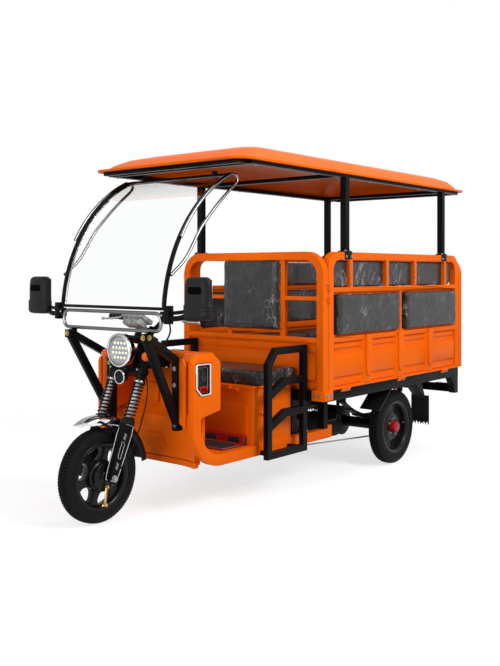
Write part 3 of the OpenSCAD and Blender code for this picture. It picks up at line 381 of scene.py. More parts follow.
def make_crinkle():
    """Sharp wandering creases of a clear wrapping film as bump height, and a mask of crease crests in patches, which
    the pad uses for painted glints.
    """
    tree, given, wanted = new_group("film_crinkle", {"Scale": 14.0, "Stretch": (1, 1, 1)}, ["Height", "Crease Glint"])
    place = object_place(tree)
    wander = add_node(tree, "ShaderNodeTexNoise", {"Vector": place, "Scale": 9.0}).outputs["Color"]
    bent = add_node(tree, "ShaderNodeVectorMath", {0: wander, "Scale": 0.06}, operation="SCALE").outputs[0]
    bent = add_node(tree, "ShaderNodeVectorRotate", {"Vector": vector_node(tree, "ADD", place, bent), "Angle": 0.55},
                    rotation_type="Y_AXIS").outputs[0]
    # creases run in streaks whose direction wanders, and lie in patches
    drawn = vector_node(tree, "MULTIPLY", bent, given["Stretch"])
    patches = mapped(tree, object_noise(tree, 7.0, 2.0), 0.44, 0.64)
    ridges = []
    for factor, power in ((1.0, 5.0), (2.7, 4.0)):
        cloud = object_noise(tree, math_node(tree, "MULTIPLY", given["Scale"], factor), 1.0, drawn)
        valley = math_node(tree, "ABSOLUTE", math_node(tree, "SUBTRACT", cloud, 0.5))
        crest = math_node(tree, "SUBTRACT", 1.0, math_node(tree, "MULTIPLY", valley, 3.0))
        ridges.append(math_node(tree, "POWER", math_node(tree, "MAXIMUM", crest, 0.0), power))
    total = math_node(tree, "ADD", ridges[0], math_node(tree, "MULTIPLY", ridges[1], 0.5))
    tree.links.new(total, wanted["Height"])
    # crest mask for painted highlights along the creases
    tree.links.new(math_node(tree, "MULTIPLY", ridges[0], patches), wanted["Crease Glint"])
    return tree


def make_streaks():
    """Long fine lines left by drawing or brushing metal."""
    tree, given, wanted = new_group("drawn_lines", {"Stretch": (1, 1, 1)}, ["Value"])
    drawn = vector_node(tree, "MULTIPLY", object_place(tree), given["Stretch"])
    tree.links.new(object_noise(tree, 1.0, 3.0, drawn), wanted["Value"])
    return tree


def make_dust():
    """Road dust that thins out with height."""
    tree, given, wanted = new_group("road_dust", {"Top": 0.5, "Scale": 14.0}, ["Mask"])
    height = add_node(tree, "ShaderNodeSeparateXYZ", {0: object_place(tree)}).outputs["Z"]
    fade = mapped(tree, height, 0.0, given["Top"], 1.0, 0.0)
    tree.links.new(math_node(tree, "MULTIPLY", fade, object_noise(tree, given["Scale"], 6.0)), wanted["Mask"])
    return tree


MOTTLE, GRAIN, CRINKLE, STREAKS, DUST = make_mottle(), make_grain(), make_crinkle(), make_streaks(), make_dust()
FINISHES = {}


class Finish:
    """One material: a Principled shader whose sockets are set, with shared groups feeding some of them."""

    def __init__(self, name, color, roughness, gloss=0.5, **sockets):
        material = FINISHES[name] = bpy.data.materials.new(name)
        material.use_nodes = True
        self.tree = material.node_tree
        self.shader = self.tree.nodes["Principled BSDF"]
        self.color = (*color, 1)
        sockets.update(Base_Color=self.color, Roughness=roughness, Specular_IOR_Level=gloss)
        for key, value in sockets.items():
            self.shader.inputs[key.replace("_", " ")].default_value = value

    def group(self, tree, **values):
        """Places a shared group with its own values and gives its outputs."""
        placed = self.tree.nodes.new("ShaderNodeGroup")
        placed.node_tree = tree
        for key, value in values.items():
            placed.inputs[key.replace("_", " ")].default_value = value
        return placed.outputs

    def feed(self, socket, value):
        self.tree.links.new(value, self.shader.inputs[socket])
        return self

    def base(self):
        return self.shader.inputs["Base Color"].links[0].from_socket

    def show(self, shader):
        self.tree.links.new(shader.outputs[0], self.tree.nodes["Material Output"].inputs["Surface"])

    def mottle(self, patch, scale, amount):
        return self.feed("Base Color", self.group(MOTTLE, Color=self.color, Patch_Color=(*patch, 1), Scale=scale,
                                                 Amount=amount)["Color"])

    def dusty(self, clean, dust, top, scale):
        mask = self.group(DUST, Top=top, Scale=scale)["Mask"]
        return self.feed("Base Color", mixed(self.tree, mask, (*clean, 1), (*dust, 1)))

    def vary_roughness(self, value, low, high):
        return self.feed("Roughness", mapped(self.tree, value, 0.3, 0.7, low, high))

    def bump(self, height, strength, distance):
        return self.feed("Normal", add_node(self.tree, "ShaderNodeBump", {
            "Height": height, "Strength": strength, "Distance": distance}).outputs[0])

    def grain(self, scale, strength, distance=0.0005):
        return self.bump(self.group(GRAIN, Scale=scale)["Height"], strength, distance)

    def painted_dark_reflection(self, start, end):
        """Painted reflection: darkens the base colour where bright metal turns away, standing in for the darker
        surroundings it would mirror, so it stands out on white.
        """
        facing = add_node(self.tree, "ShaderNodeLayerWeight", {"Blend": 0.45}).outputs["Facing"]
        share = mapped(self.tree, facing, start, end, 0.0, 0.93)
        return self.feed("Base Color", mixed(self.tree, share, self.base(), (0.03, 0.03, 0.032, 1)))


# Finishes of this vehicle

def make_finishes():
    paint = Finish("orange_paint", (0.90, 0.142, 0.0015), 0.42, 0.05, Coat_Weight=0.02, Coat_Roughness=0.12)
    paint.mottle((0.83, 0.118, 0.001), 5.0, 0.6).grain(160.0, 0.06, 0.001)
    black = Finish("black_steel", (0.004, 0.004, 0.0042), 0.36, 0.06)
    black.mottle((0.007, 0.007, 0.0073), 9.0, 0.7).grain(700.0, 0.25)

    # metals: name, colour, roughness low and high, streak stretch, and the facing range of a painted dark reflection
    for name, color, low, high, stretch, rim in (
            ("chrome", (0.78, 0.79, 0.81), 0.04, 0.12, (30, 30, 30), (0.24, 0.70)),
            ("stainless", (0.30, 0.30, 0.30), 0.12, 0.26, (40, 400, 40), (0.10, 0.52)),
            ("steel", (0.34, 0.34, 0.35), 0.25, 0.42, (60, 60, 500), None),
            ("gold", (0.52, 0.38, 0.13), 0.22, 0.40, (80, 80, 200), None),
            ("alloy", (0.36, 0.36, 0.37), 0.38, 0.55, (120, 120, 120), None)):
        metal = Finish(name, color, low, Metallic=1.0).mottle(tuple(0.8 * c for c in color), 40.0, 0.35)
        # painted reflection: a dark rim mixed into the base colour where the metal turns away
        if rim:
            metal.painted_dark_reflection(*rim)
        metal.vary_roughness(metal.group(STREAKS, Stretch=stretch)["Value"], low, high)
    for name, color, metallic, scale, low, high in (("mirror", (0.88, 0.89, 0.9), 1.0, 30.0, 0.015, 0.04),
                                                    ("polished", (0.80, 0.80, 0.80), 0.6, 60.0, 0.34, 0.48)):
        metal = Finish(name, color, low, Metallic=metallic)
        metal.vary_roughness(object_noise(metal.tree, scale, 4.0), low, high)

    # painted shade: near-black, darker than the black plastic, for the dark inside the mirrors' recesses
    Finish("painted_recess_shade", (0.0012, 0.0012, 0.0012), 0.7, 0.02).grain(300.0, 0.3)
    Finish("film_grey", (0.36, 0.36, 0.35), 0.3, 0.3).mottle((0.16, 0.16, 0.16), 55.0, 1.0)
    for name, color, rough in (("black_plastic", (0.006, 0.006, 0.0064), 0.5), ("grey_plastic", (0.3, 0.3, 0.31), 0.45),
                               ("grips", (0.004, 0.004, 0.004), 0.65)):
        plastic = Finish(name, color, rough, 0.16).mottle(tuple(1.7 * c for c in color), 14.0, 0.5)
        plastic.grain(520.0, 0.5, 0.0006)

    vinyl = Finish("pad", (0.024, 0.024, 0.024), 0.45, 0.15, Coat_Weight=0.35, Coat_Roughness=0.1)
    vinyl.mottle((0.045, 0.045, 0.045), 18.0, 0.8)
    film = vinyl.group(CRINKLE, Scale=13.0, Stretch=(2.6, 2.4, 0.6))
    # painted highlight: whitish glints mixed into the base colour along the film's crease crests
    painted_glint = math_node(vinyl.tree, "MULTIPLY", math_node(vinyl.tree, "POWER", film["Crease Glint"], 3.0), 0.62)
    vinyl.feed("Base Color", mixed(vinyl.tree, painted_glint, vinyl.base(), (0.45, 0.46, 0.47, 1)))
    vinyl.bump(film["Height"], 0.7, 0.005)

    Finish("mat", (0.016, 0.016, 0.016), 0.6).mottle((0.03, 0.029, 0.028), 20.0, 0.7).grain(260.0, 0.6, 0.001)
    Finish("mat_rim", (0.66, 0.012, 0.008), 0.35).mottle((0.5, 0.008, 0.006), 12.0, 0.6)
    tyre = Finish("tyre", (0.008, 0.008, 0.008), 0.72, 0.1)
    tyre.dusty((0.005, 0.005, 0.005), (0.013, 0.0127, 0.0124), 0.5, 22.0).grain(420.0, 0.5, 0.0008)
    rim = Finish("rim_black", (0.006, 0.006, 0.0062), 0.24, 0.12, Coat_Weight=0.1)
    rim.mottle((0.011, 0.011, 0.011), 16.0, 0.5).grain(300.0, 0.12)
    dark = Finish("dark_steel", (0.012, 0.012, 0.0125), 0.5, 0.14)
    dark.dusty((0.012, 0.012, 0.0125), (0.035, 0.032, 0.03), 0.7, 12.0).grain(480.0, 0.4)
    for name, color in (("lamp_red", (0.5, 0.008, 0.006)), ("lamp_amber", (0.9, 0.12, 0.008)),
                        ("hub_red", (0.42, 0.008, 0.012))):
        lamp = Finish(name, color, 0.2, 0.15, Coat_Weight=0.12)
        lamp.mottle(tuple(0.6 * c for c in color), 60.0, 0.5).grain(240.0, 0.15)
    leds = Finish("led", (0.8, 0.76, 0.55), 0.3, Emission_Strength=0.25)
    glow = leds.group(MOTTLE, Color=(1, 0.95, 0.74, 1), Patch_Color=(0.8, 0.72, 0.42, 1), Scale=160.0, Amount=1.0)
    leds.feed("Emission Color", glow["Color"])
    Finish("pinstripe", (0.85, 0.85, 0.85), 0.4).mottle((0.6, 0.6, 0.6), 60.0, 0.6)

    for name, color, rough, ior in (("clear", (0.97, 0.98, 0.98), 0.02, 1.3), ("lens", (0.95, 0.96, 0.97), 0.05, 1.3),
                                    ("cover", (0.9, 0.9, 0.9), 0.02, 1.06)):
        # light passes the clear sheet straight, so what is behind isn't darkened
        glass = Finish(name, color, rough, Transmission_Weight=1.0, IOR=ior).grain(4.0, 0.03, 0.01)
        straight = add_node(glass.tree, "ShaderNodeBsdfTransparent", {"Color": (0.95, 0.96, 0.96, 1)})
        shadow = add_node(glass.tree, "ShaderNodeLightPath").outputs["Is Shadow Ray"]
        glass.show(add_node(glass.tree, "ShaderNodeMixShader", {0: shadow, 1: glass.shader.outputs[0],
                                                                2: straight.outputs[0]}))


make_finishes()

# Stage: floor, light and camera

FLOOR_LIFT = 0.68
SHADOW_REACH = (1.6, 3.6)
WORLD_LIGHT = 0.42
LIGHT_AIM = Vector((0, 0, 0.7))
CAMERA_PLACE, CAMERA_LOOK = Vector((4.2416, 3.2932, 1.2192)), Vector((-0.77713, -0.62934, 0))


def seen_rays(tree):
    """One for the rays by which the background is seen, straight or in a metal or glass surface."""
    path = add_node(tree, "ShaderNodeLightPath").outputs
    through = math_node(tree, "MAXIMUM", path["Is Glossy Ray"], path["Is Transmission Ray"])
    return math_node(tree, "MAXIMUM", path["Is Camera Ray"], through)


def make_stage():
    scene = bpy.context.scene
    scene.view_settings.view_transform = "Standard"
    floor = Shape()
    bmesh.ops.create_grid(floor.bm, x_segments=1, y_segments=1, size=40)
    mesh = floor.mesh("floor")
    new_object("floor", mesh)
    pale = Finish("pale_floor", (0.45, 0.45, 0.45), 0.9)
    tree = pale.tree
    seen = seen_rays(tree)
    lift = add_node(tree, "ShaderNodeEmission", {"Strength": math_node(tree, "MULTIPLY", seen, FLOOR_LIFT)})
    both = add_node(tree, "ShaderNodeAddShader", {0: pale.shader.outputs[0], 1: lift.outputs[0]})
    # further out, where no shadow falls, the floor goes over into plain white
    away = add_node(tree, "ShaderNodeVectorMath", {0: object_place(tree)}, operation="LENGTH").outputs["Value"]
    far = mapped(tree, away, *SHADOW_REACH, interpolation_type="SMOOTHSTEP")
    white = add_node(tree, "ShaderNodeEmission")
    pale.show(add_node(tree, "ShaderNodeMixShader", {0: math_node(tree, "MULTIPLY", seen, far), 1: both.outputs[0],
                                                     2: white.outputs[0]}))
    mesh.materials.append(FINISHES["pale_floor"])

    world = scene.world = bpy.data.worlds.new("studio")
    world.use_nodes = True
    background = world.node_tree.nodes["Background"].inputs
    background["Color"].default_value = (1, 1, 1, 1)
    level = mapped(world.node_tree, seen_rays(world.node_tree), 0.0, 1.0, WORLD_LIGHT, 1.0)
    world.node_tree.links.new(level, background["Strength"])

    # soft boxes: name, place, power, size
    for name, place, power, size in (("key_box", (0.2, 5.0, 4.3), 222, 2.4), ("front_box", (6.0, 0.2, 1.8), 115, 2.6),
                                     ("top_box", (-1.0, 0.6, 5.0), 60, 3.4)):
        light = bpy.data.lights.new(name, "AREA")
        light.energy, light.size = power, size
        lamp = new_object(name, light)
        lamp.location = place
        lamp.rotation_euler = (LIGHT_AIM - Vector(place)).to_track_quat("-Z", "Y").to_euler()

    camera = scene.camera = new_object("camera", bpy.data.cameras.new("camera"))
    camera.data.sensor_fit = "VERTICAL"
    camera.data.sensor_height = 36.0
    camera.data.lens = 47.82
    camera.data.shift_y = -0.0908
    camera.location = CAMERA_PLACE
    camera.rotation_euler = CAMERA_LOOK.to_track_quat("-Z", "Y").to_euler()


make_stage()

# Wheels

RIM_BEAD = 0.157
TREAD_DEPTH = 0.0055
TREAD_COLUMNS = 5
RIM_HALF = [(156.5, 26), (156.5, 30.5), (167, 32.5), (167.8, 35), (164, 37), (152, 34.5), (144, 27), (140, 18),
            (138.5, 0)]
RIM_SECTION = RIM_HALF + flipped(RIM_HALF[:-1])


def tyre_outline(radius, half):
    """Outline of a tyre as (radius, across) from bead to bead, and where its tread starts."""
    wall = [(RIM_BEAD + rise, share * half) for rise, share in (
        (0, 0.70), (0.006, 0.78), (0.012, 0.90), (0.016, 0.945), (0.018, 0.975), (0.021, 0.96))]
    wall += [(radius - drop * half, share * half) for drop, share in (
        (1.00, 1.0), (0.72, 0.975), (0.64, 0.965), (0.60, 0.925), (0.44, 0.83))]
    tread = []
    for i in range(TREAD_COLUMNS + 1):
        across = 0.72 * half * (1 - 2 * i / TREAD_COLUMNS)
        crown = radius - 0.22 * half * (across / half) ** 2 - 0.10 * half * abs(across / half) ** 4
        tread.append((crown - TREAD_DEPTH, across))
    return wall + tread + flipped(wall), len(wall)


def make_tyre(name, node, centre, body, steps, zigzag):
    low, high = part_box(node)
    radius, half = (high.z - low.z) / 2, (high.y - low.y) / 2
    outline, first = tyre_outline(radius, half)
    tyre = Shape().spin([(1000 * r, 1000 * a) for r, a in outline], centre, ACROSS, steps).merge()
    # the tread's cross lines run in a zigzag
    lines = [across for _, across in outline[first:first + TREAD_COLUMNS + 1]]
    step = 2 * math.pi / steps
    for vert in tyre.bm.verts:
        place = vert.co - centre
        column = min(range(TREAD_COLUMNS + 1), key=lambda i: abs(lines[i] - place.y))
        if abs(lines[column] - place.y) < 1e-5 and math.hypot(place.x, place.z) > radius - 0.45 * half:
            vert.co = centre + Matrix.Rotation(step * zigzag * (column % 2), 3, "Y") @ place
    blocks, ribs = [], []
    for face in tyre.bm.faces:
        middle = face.calc_center_median() - centre
        spread = math.hypot(middle.x, middle.z)
        turn = round(math.atan2(middle.z, middle.x) / step)
        if abs(middle.y) < 0.72 * half and spread > radius - 0.4 * half:
            blocks.append(face)
        elif abs(spread - (radius - 0.86 * half)) < 0.12 * half and turn % 2 == 0:
            ribs.append(face)
    for faces, margin, height in ((blocks, 0.0024, TREAD_DEPTH), (ribs, 0.0006, 0.0005)):
        bmesh.ops.inset_individual(tyre.bm, faces=faces, thickness=margin, depth=height, use_even_offset=True)
    tyre.piece(name, "tyre", body, replaces=node, smooth=38, tidy=False)


def make_front_rim():
    drum = [(10.1, 43), (26, 43), (30, 38), (64, 36), (76, 30), (79, 24), (79, -20), (74, -32), (60, -38), (32, -40),
            (28, -43), (10.1, -43)]
    rim = Shape().spin(RIM_SECTION, FRONT_AXLE, ACROSS, 72, True).spin(drum, FRONT_AXLE, ACROSS, 64, True)
    # spokes: radius, half width
    flank = [(70, 36), (84, 26), (100, 21.5), (117, 21.5), (130, 28), (142.5, 42)]
    for i in range(6):
        turn = Matrix.Translation(FRONT_AXLE) @ Matrix.Rotation(math.radians(60 * i + 12), 4, "Y")
        rim.extrude([turn @ mm(r, -15, w) for r, w in flank + flipped(flank)], (0, 30, 0))
    rim.round(2.8, 3, 40).piece("front_rim_cast", "rim_black", "front_wheel", replaces="front_rim")


def make_front_brake():
    """Brake plate, its arm and cam, and the axle with its nuts."""
    plate = [(11, 47), (64, 47), (69.5, 49), (69.5, 55.5), (60, 58), (30, 60.5), (24, 66), (11, 66)]
    Shape().spin(plate, FRONT_AXLE, ACROSS, 48, True).round(1).piece(
        "front_brake_plate", "rim_black", "steering", replaces="front_brake")
    nuts = Shape().rod(FRONT_AXLE - ACROSS * 0.131, FRONT_AXLE + ACROSS * 0.131, 10, 24)
    for y in SIDES:
        a, b, c = (FRONT_AXLE + ACROSS * y * reach for reach in (0.1172, 0.1202, 0.1297))
        nuts.rod(a, b, 16.5, 24).rod(b, c, 14.5, 6)
    nuts.round(0.6).piece("front_axle_nuts", "steel", "steering", "gold")
    cam, tip = FRONT_AXLE + mm(6, 68, -45), FRONT_AXLE + mm(20, 73.5, -128)
    half = (tip - cam).length / 2
    arm = Shape().rod(cam - ACROSS * 0.012, cam + ACROSS * 0.010, 9, 20)
    arm.rod(cam + ACROSS * 0.010, cam + ACROSS * 0.014, 6, 6)
    arm.box((-0.003, -0.0075, -half), (0.003, 0.0075, half), Matrix.Translation((cam + tip) / 2) @ turn_to(tip - cam))
    arm.rod(tip - ACROSS * 0.011, tip + ACROSS * 0.011, 8.5, 20).rod(tip + mm(-12, 0, 2), tip + mm(22, 0, -2), 5.5, 12)
    arm.round(0.9).piece("front_brake_arm", "gold", "steering")


def make_rear_rim(side, centre, body):
    out = ACROSS if side == "left" else -ACROSS
    place = Matrix.Translation(centre) @ turn_to(out)
    disc = [(10.1, 4), (50, 4), (60, 7), (74, 12.5), (84, 10), (98, -1), (128, -4), (140, -3), (141, -10), (126, -12),
            (96, -10), (72, 3), (52, -8), (10.1, -8)]
    rim = Shape().spin(RIM_SECTION, centre, ACROSS, 72, True).spin(disc, centre, out, 72, True)
    rim.spin([(10.1, -6), (45, -6), (45, -30), (10.1, -30)], centre, out, 40, True)
    rim.piece(f"rear_rim_steel_{side}", "rim_black", body, replaces=f"rear_rim_{side}")
    # hand holes as dark dished insets round the disc
    holes, nuts = Shape(), Shape()
    for i in range(10):
        spot = place @ Matrix.Rotation(math.radians(36 * i), 4, "Z") @ Matrix.Translation(mm(117, 0, -3.5))
        bmesh.ops.create_cone(holes.bm, cap_ends=True, segments=20, radius1=0.0095, radius2=0.0105, depth=0.003,
                              matrix=spot)
    holes.round(0.8).piece(f"rear_rim_holes_{side}", "black_plastic", body, "rim_black")
    for i in range(5):
        nut = place @ Matrix.Rotation(math.radians(72 * i + 8), 4, "Z") @ mm(54, 0, 4)
        for start, end, radius, sides in ((0, 2.5, 10.5, 20), (2.5, 13, 8.2, 6), (13, 18, 4.5, 12)):
            nuts.rod(nut + out * start / 1000, nut + out * end / 1000, radius, sides)
    valve = place @ mm(128, 12, -4)
    lean = (out * 0.9 - (place.to_3x3() @ Vector((0.5, 0, 0)))).normalized()
    nuts.rod(valve, valve + lean * 0.03, 3.2, 10)
    nuts.round(0.6).piece(f"rear_wheel_nuts_{side}", "steel", body, "rim_black")
    cap = [(0, 47.5), (22, 47), (30, 44.5), (34.5, 39), (35.5, 12), (37, 5)]
    Shape().spin(cap, centre, out, 40).piece(f"rear_hub_cap_{side}", "hub_red", body, "rim_black")


make_tyre("front_tyre_rubber", "front_tyre", FRONT_AXLE, "front_wheel", 90, 0.5)
for side, centre in REAR_WHEELS.items():
    make_tyre(f"rear_tyre_rubber_{side}", f"rear_tyre_{side}", centre, f"rear_wheel_{side}", 84, 0.9)
make_front_rim()
make_front_brake()
for side, centre in REAR_WHEELS.items():
    make_rear_rim(side, centre, f"rear_wheel_{side}")

# Fork, lamps and handlebar

LEG_Y = 97
SPRING_LOW, SPRING_HIGH = 288, 474
INSTRUMENT_TILT = Matrix.Rotation(math.radians(-28), 4, "Y")


def on_guard(angle, r, y):
    """A point round the front axle, by its angle in degrees and its distances in metres."""
    turn = math.radians(angle)
    return FRONT_AXLE + Vector((r * math.cos(turn), y, r * math.sin(turn)))


def make_front_fittings():
    """What hangs on the front mudguard and legs: stays, a reflector strip, the brake cable."""
    stays, amber = Shape(), Shape()
    for side in SIDES:
        y = side * 0.0600
        path = [on_guard(80, 0.276, y), on_guard(84, 0.270, y),
                on_fork(34, side * 74, 214), on_fork(20, side * 78, 160)]
        stays.tube(round_path(path, 20), 6, 3)
        amber.tube([on_guard(a, 0.246, y - side * 0.002) for a in (84, 87, 90)], 5, 3)
    line = [on_fork(*p) for p in ((-42, 60, 560), (-44, 124, 470), (-56, 130, 380), (-62, 128, 250), (-44, 124, 120),
                                  (-10, 112, 20))] + [FRONT_AXLE + mm(-45, 62, -62)]
    stays.piece("guard_stays", "black_steel", "steering", "chrome", smooth=50)
    amber.piece("guard_reflectors", "lamp_amber", "steering", smooth=50)
    Shape().tube(round_path(line, 50), 3.2, 3).piece(
        "front_brake_cable", "grips", "steering", "black_plastic", smooth=60)
    # film still wrapped round the instrument, gathered at its front
    turn = Matrix.Translation(at(1846, 0, 968)) @ INSTRUMENT_TILT
    Shape().box((-0.030, -0.062, -0.026), (0.034, 0.062, 0.016), turn).round(12, 4).piece(
        "instrument_wrap", "film_grey", "steering", "grey_plastic", smooth=60)


def make_springs():
    springs, collars = Shape(), Shape()
    collar = [(16.5, 0), (30.5, 0), (32, 3), (32, 9), (30, 12), (26, 12.5)]
    for side in SIDES:
        place = FORK @ Matrix.Translation(mm(0, side * LEG_Y, 0))
        springs.coil(26.2, 8, SPRING_LOW + 5, SPRING_HIGH - 5, 10, place, 20, 10)
        for low, high in ((SPRING_LOW + 1, SPRING_LOW + 5), (SPRING_HIGH - 5, SPRING_HIGH - 1)):
            springs.spin([(18.5, low), (30, low), (30, high), (18.5, high)], place.translation, UP_LEG, 32, True)
        collars.spin(collar, on_fork(0, side * LEG_Y, SPRING_HIGH + 1), UP_LEG, 36)
    springs.piece("fork_springs_coiled", "black_steel", "steering", replaces="fork_springs")
    # bright collars above the springs
    collars.piece("fork_collars", "stainless", "steering", "chrome")


def make_legs():
    dress("fork_legs", 4, segments=3)
    dress("fork_yokes", 3, segments=3)
    dress("fork_stanchions", 0, finish="polished")
    caps, lines, bolts = Shape(), Shape(), Shape()
    # ribbed dust caps over the lower end of the springs
    cap = [(33.5, -4), (36, -1), (36, 4), (34, 6), (36, 8), (36, 13), (34, 15), (35.2, 18), (33, 22), (29, 24)]
    # white outlines painted on the legs: outer face and front edge
    rear_line = [(-17, -14), (-22, 32), (-30, 212), (-26, 262)]
    front_line = [(28, 262), (34.3, 216), (26.3, 32), (20.5, -14)]
    panel = [(-2, 96), (-2, 168), (6, 176), (18, 176), (18, 104), (10, 96), (-2, 96)]
    for side in SIDES:
        caps.spin(cap, on_fork(0, side * LEG_Y, SPRING_LOW - 22), UP_LEG, 40)
        y, inner = side * (LEG_Y + 20.3), side * (LEG_Y - 14)
        ring = [on_fork(x, y, z) for x, z in rear_line] + [on_fork(27, y, 262)]
        ring += [on_fork(x, inner, z) for x, z in front_line] + [on_fork(18, y, -14)]
        lines.tube(round_path(ring, 6), 1.6, 1, closed=True)
        lines.tube([on_fork(x, y, z) for x, z in panel], 1, 1)
        for low, x in ((44, -2), (188, 2)):
            for z in range(low, low + 32, 8):
                lines.tube([on_fork(x, y, z), on_fork(x + 14, y, z + 6)], 1.3, 1)
        # bolts on the yokes, clamp screws and the stem nut
        for z in (535, 702):
            bolts.rod(on_fork(30, side * LEG_Y, z), on_fork(42, side * LEG_Y, z), 6.5, 6)
        bolts.rod(on_fork(0, side * LEG_Y, 715), on_fork(0, side * LEG_Y, 724), 14, 6)
    bolts.rod(on_fork(-45, 0, 727), on_fork(-45, 0, 737), 20, 6)
    caps.piece("fork_dust_caps", "black_plastic", "steering", "black_steel")
    lines.piece("fork_leg_lines", "pinstripe", "steering", "black_steel")
    bolts.round(0.8).piece("fork_bolts", "steel", "steering", "black_steel")


def make_headlight():
    low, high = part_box("headlight_lens")
    centre = Vector((AXLE_X + 1.962, 0, (low.z + high.z) / 2))
    bowl = [(0, -90), (22, -89.5), (36, -83), (52, -68), (64, -46), (71, -28), (80.5, -20), (85, -14), (86, -6),
            (84.5, 0), (80, 3.5), (75.5, 4), (72.5, 1), (72.5, -12)]
    Shape().spin(bowl, centre, AHEAD, 56).piece("headlight_bowl", "chrome", "steering", replaces="headlight", smooth=50)
    ears, leds = Shape(), Shape()
    for side in SIDES:
        ears.box(at(1860, side * 74 - 8, 822), at(1944, side * 74 + 8, 838))
        ears.rod(at(1932, side * 68, 830), at(1932, side * 90, 830), 9, 6)
    ears.round(2).piece("headlight_ears", "black_steel", "steering", "chrome")
    # bright reflector with rows of light emitting blocks
    Shape().spin([(0, -10), (64, -10), (71.8, -2)], centre, AHEAD).piece("headlight_reflector", "alloy", "steering",
                                                                         "chrome")
    dome = [(0, 7), (3.5, 6.2), (6.2, 4.2), (7.4, 0), (7.4, -3)]
    for row, count in enumerate((4, 5, 5, 4)):
        for i in range(count):
            leds.spin(dome, centre + mm(-12, (i - (count - 1) / 2) * 23.2, 36 - 24 * row), AHEAD, 14)
    leds.piece("headlight_leds", "led", "steering", "lens")
    glass = [(0, 9), (30, 7.8), (54, 4.5), (68, 0.5), (72.2, -1), (72.2, -3), (50, 1.5), (30, 4.8), (0, 6)]
    Shape().spin(glass, centre, AHEAD).piece("headlight_glass", "lens", "steering", replaces="headlight_lens")


def make_horn():
    centre = at(1952, 0, 697)
    trumpet = [(0, -38), (16, -38), (25, -34), (31, -20), (34, -10), (34, 0), (30, 2), (27, -4), (20, -6), (12, -3),
               (7, 1), (0, 1.5)]
    horn = Shape().spin(trumpet, centre, AHEAD, 40).box(on_fork(20.3, -10, 505), on_fork(26, 10, 540))
    horn.piece("horn_body", "black_plastic", "steering", replaces="horn", smooth=50)
    ring = [(33.5, -5), (36.5, -3), (37.2, 2), (35.5, 5.5), (31.5, 5.5), (30.2, 2)]
    Shape().spin(ring, centre, AHEAD, 40, True).piece("horn_ring", "chrome", "steering", "black_plastic")


def make_indicators():
    lenses, stalks = Shape(), Shape()
    lens = [(0, 24), (9, 23.5), (9, 22.2), (14.5, 20.5), (20, 14.5), (23.2, 6), (23.6, -3), (21.5, -12)]
    stalk = [(22.5, -8.5), (24.5, -10.5), (24, -14.5), (19, -21), (10, -25), (0, -26)]
    for side in SIDES:
        ball, out = at(1911, side * 147, 803), Vector((0.8, side * 0.5, 0)).normalized()
        lenses.spin(lens, ball, out, 32)
        stalks.spin(stalk, ball, out, 32).tube([ball - out * 0.02, at(1866, side * 118, 801)], 6, 3)
    lenses.piece("indicator_lenses", "lamp_amber", "steering", replaces="indicators", smooth=50)
    stalks.piece("indicator_stalks", "black_plastic", "steering", "lamp_amber", smooth=50)


def make_handlebar():
    half = [at(1690, 350, 981), at(1715, 220, 985), at(1758, 120, 985), at(1772, 60, 925)]
    bar = Shape().tube(round_path(half + mirrored(half), 30, 8), 11, 5)
    for y in (-0.045, 0.045):
        bar.box((-0.047, y - 0.009, 0.715), (-0.017, y + 0.009, 0.781), FORK)
    bar.piece("handlebar_tube", "black_steel", "steering", replaces="handlebar")
    # grips with ring ribs, switch pods and levers
    grips, pods, levers = Shape(), Shape(), Shape()
    grip = [(11.5, -1), (17.5, -1), (18.5, 2), (18.5, 6)]
    for i in range(11):
        base = 9 + 7.8 * i
        grip += [(14.8, base), (16.4, base + 2), (16.4, base + 5)]
    grip += [(15, 96.5), (19, 98.5), (19, 101.5), (11.5, 102)]
    for side in SIDES:
        tip = at(1690, side * 350, 981)
        along = (at(1715, side * 220, 985) - tip).normalized()
        grips.spin(grip, tip, along, 28)
        pod = tip + along * 0.119
        turn = Matrix.Translation(pod) @ turn_to(along)
        pods.box((-0.017, -0.019, -0.015), (0.017, 0.019, 0.015), turn)
        for low, high in ((-0.009, -0.003), (0.002, 0.008)):
            pods.box((-0.006, 0.019, low), (0.006, 0.0235, high), turn)
        lever = [pod + mm(x, side * y, z) for x, y, z in ((12, 0, -4), (48, 12, -8), (56, 60, -12), (40, 118, -14))]
        levers.tube(round_path(lever, 20), 5.5, 3).ball(lever[-1], 8.5, 8)
    grips.piece("grip_sleeves", "grips", "steering", replaces="hand_grips", smooth=50)
    pods.round(4, 3).piece("switch_pods", "black_plastic", "steering", "grips")
    levers.piece("brake_levers", "alloy", "steering", "black_steel")


def make_instrument():
    turn = Matrix.Translation(at(1832, 0, 984)) @ INSTRUMENT_TILT
    case = Shape().box((-0.052, -0.070, -0.014), (0.052, 0.070, 0.014), turn).round(10, 4)
    case.box(at(1772 + 11.3, -20, 917), at(1802, 20, 973))
    case.piece("instrument_case", "film_grey", "steering", "grey_plastic", "instrument")
    Shape().box((-0.040, -0.056, 0.012), (0.040, 0.056, 0.0155), turn).round(1.4).piece(
        "instrument_face", "grey_plastic", "steering")
    Shape().box((-0.028, -0.040, 0.0150), (0.028, 0.040, 0.0166), turn).round(0.6).piece(
        "instrument_window", "lens", "steering", "grey_plastic")


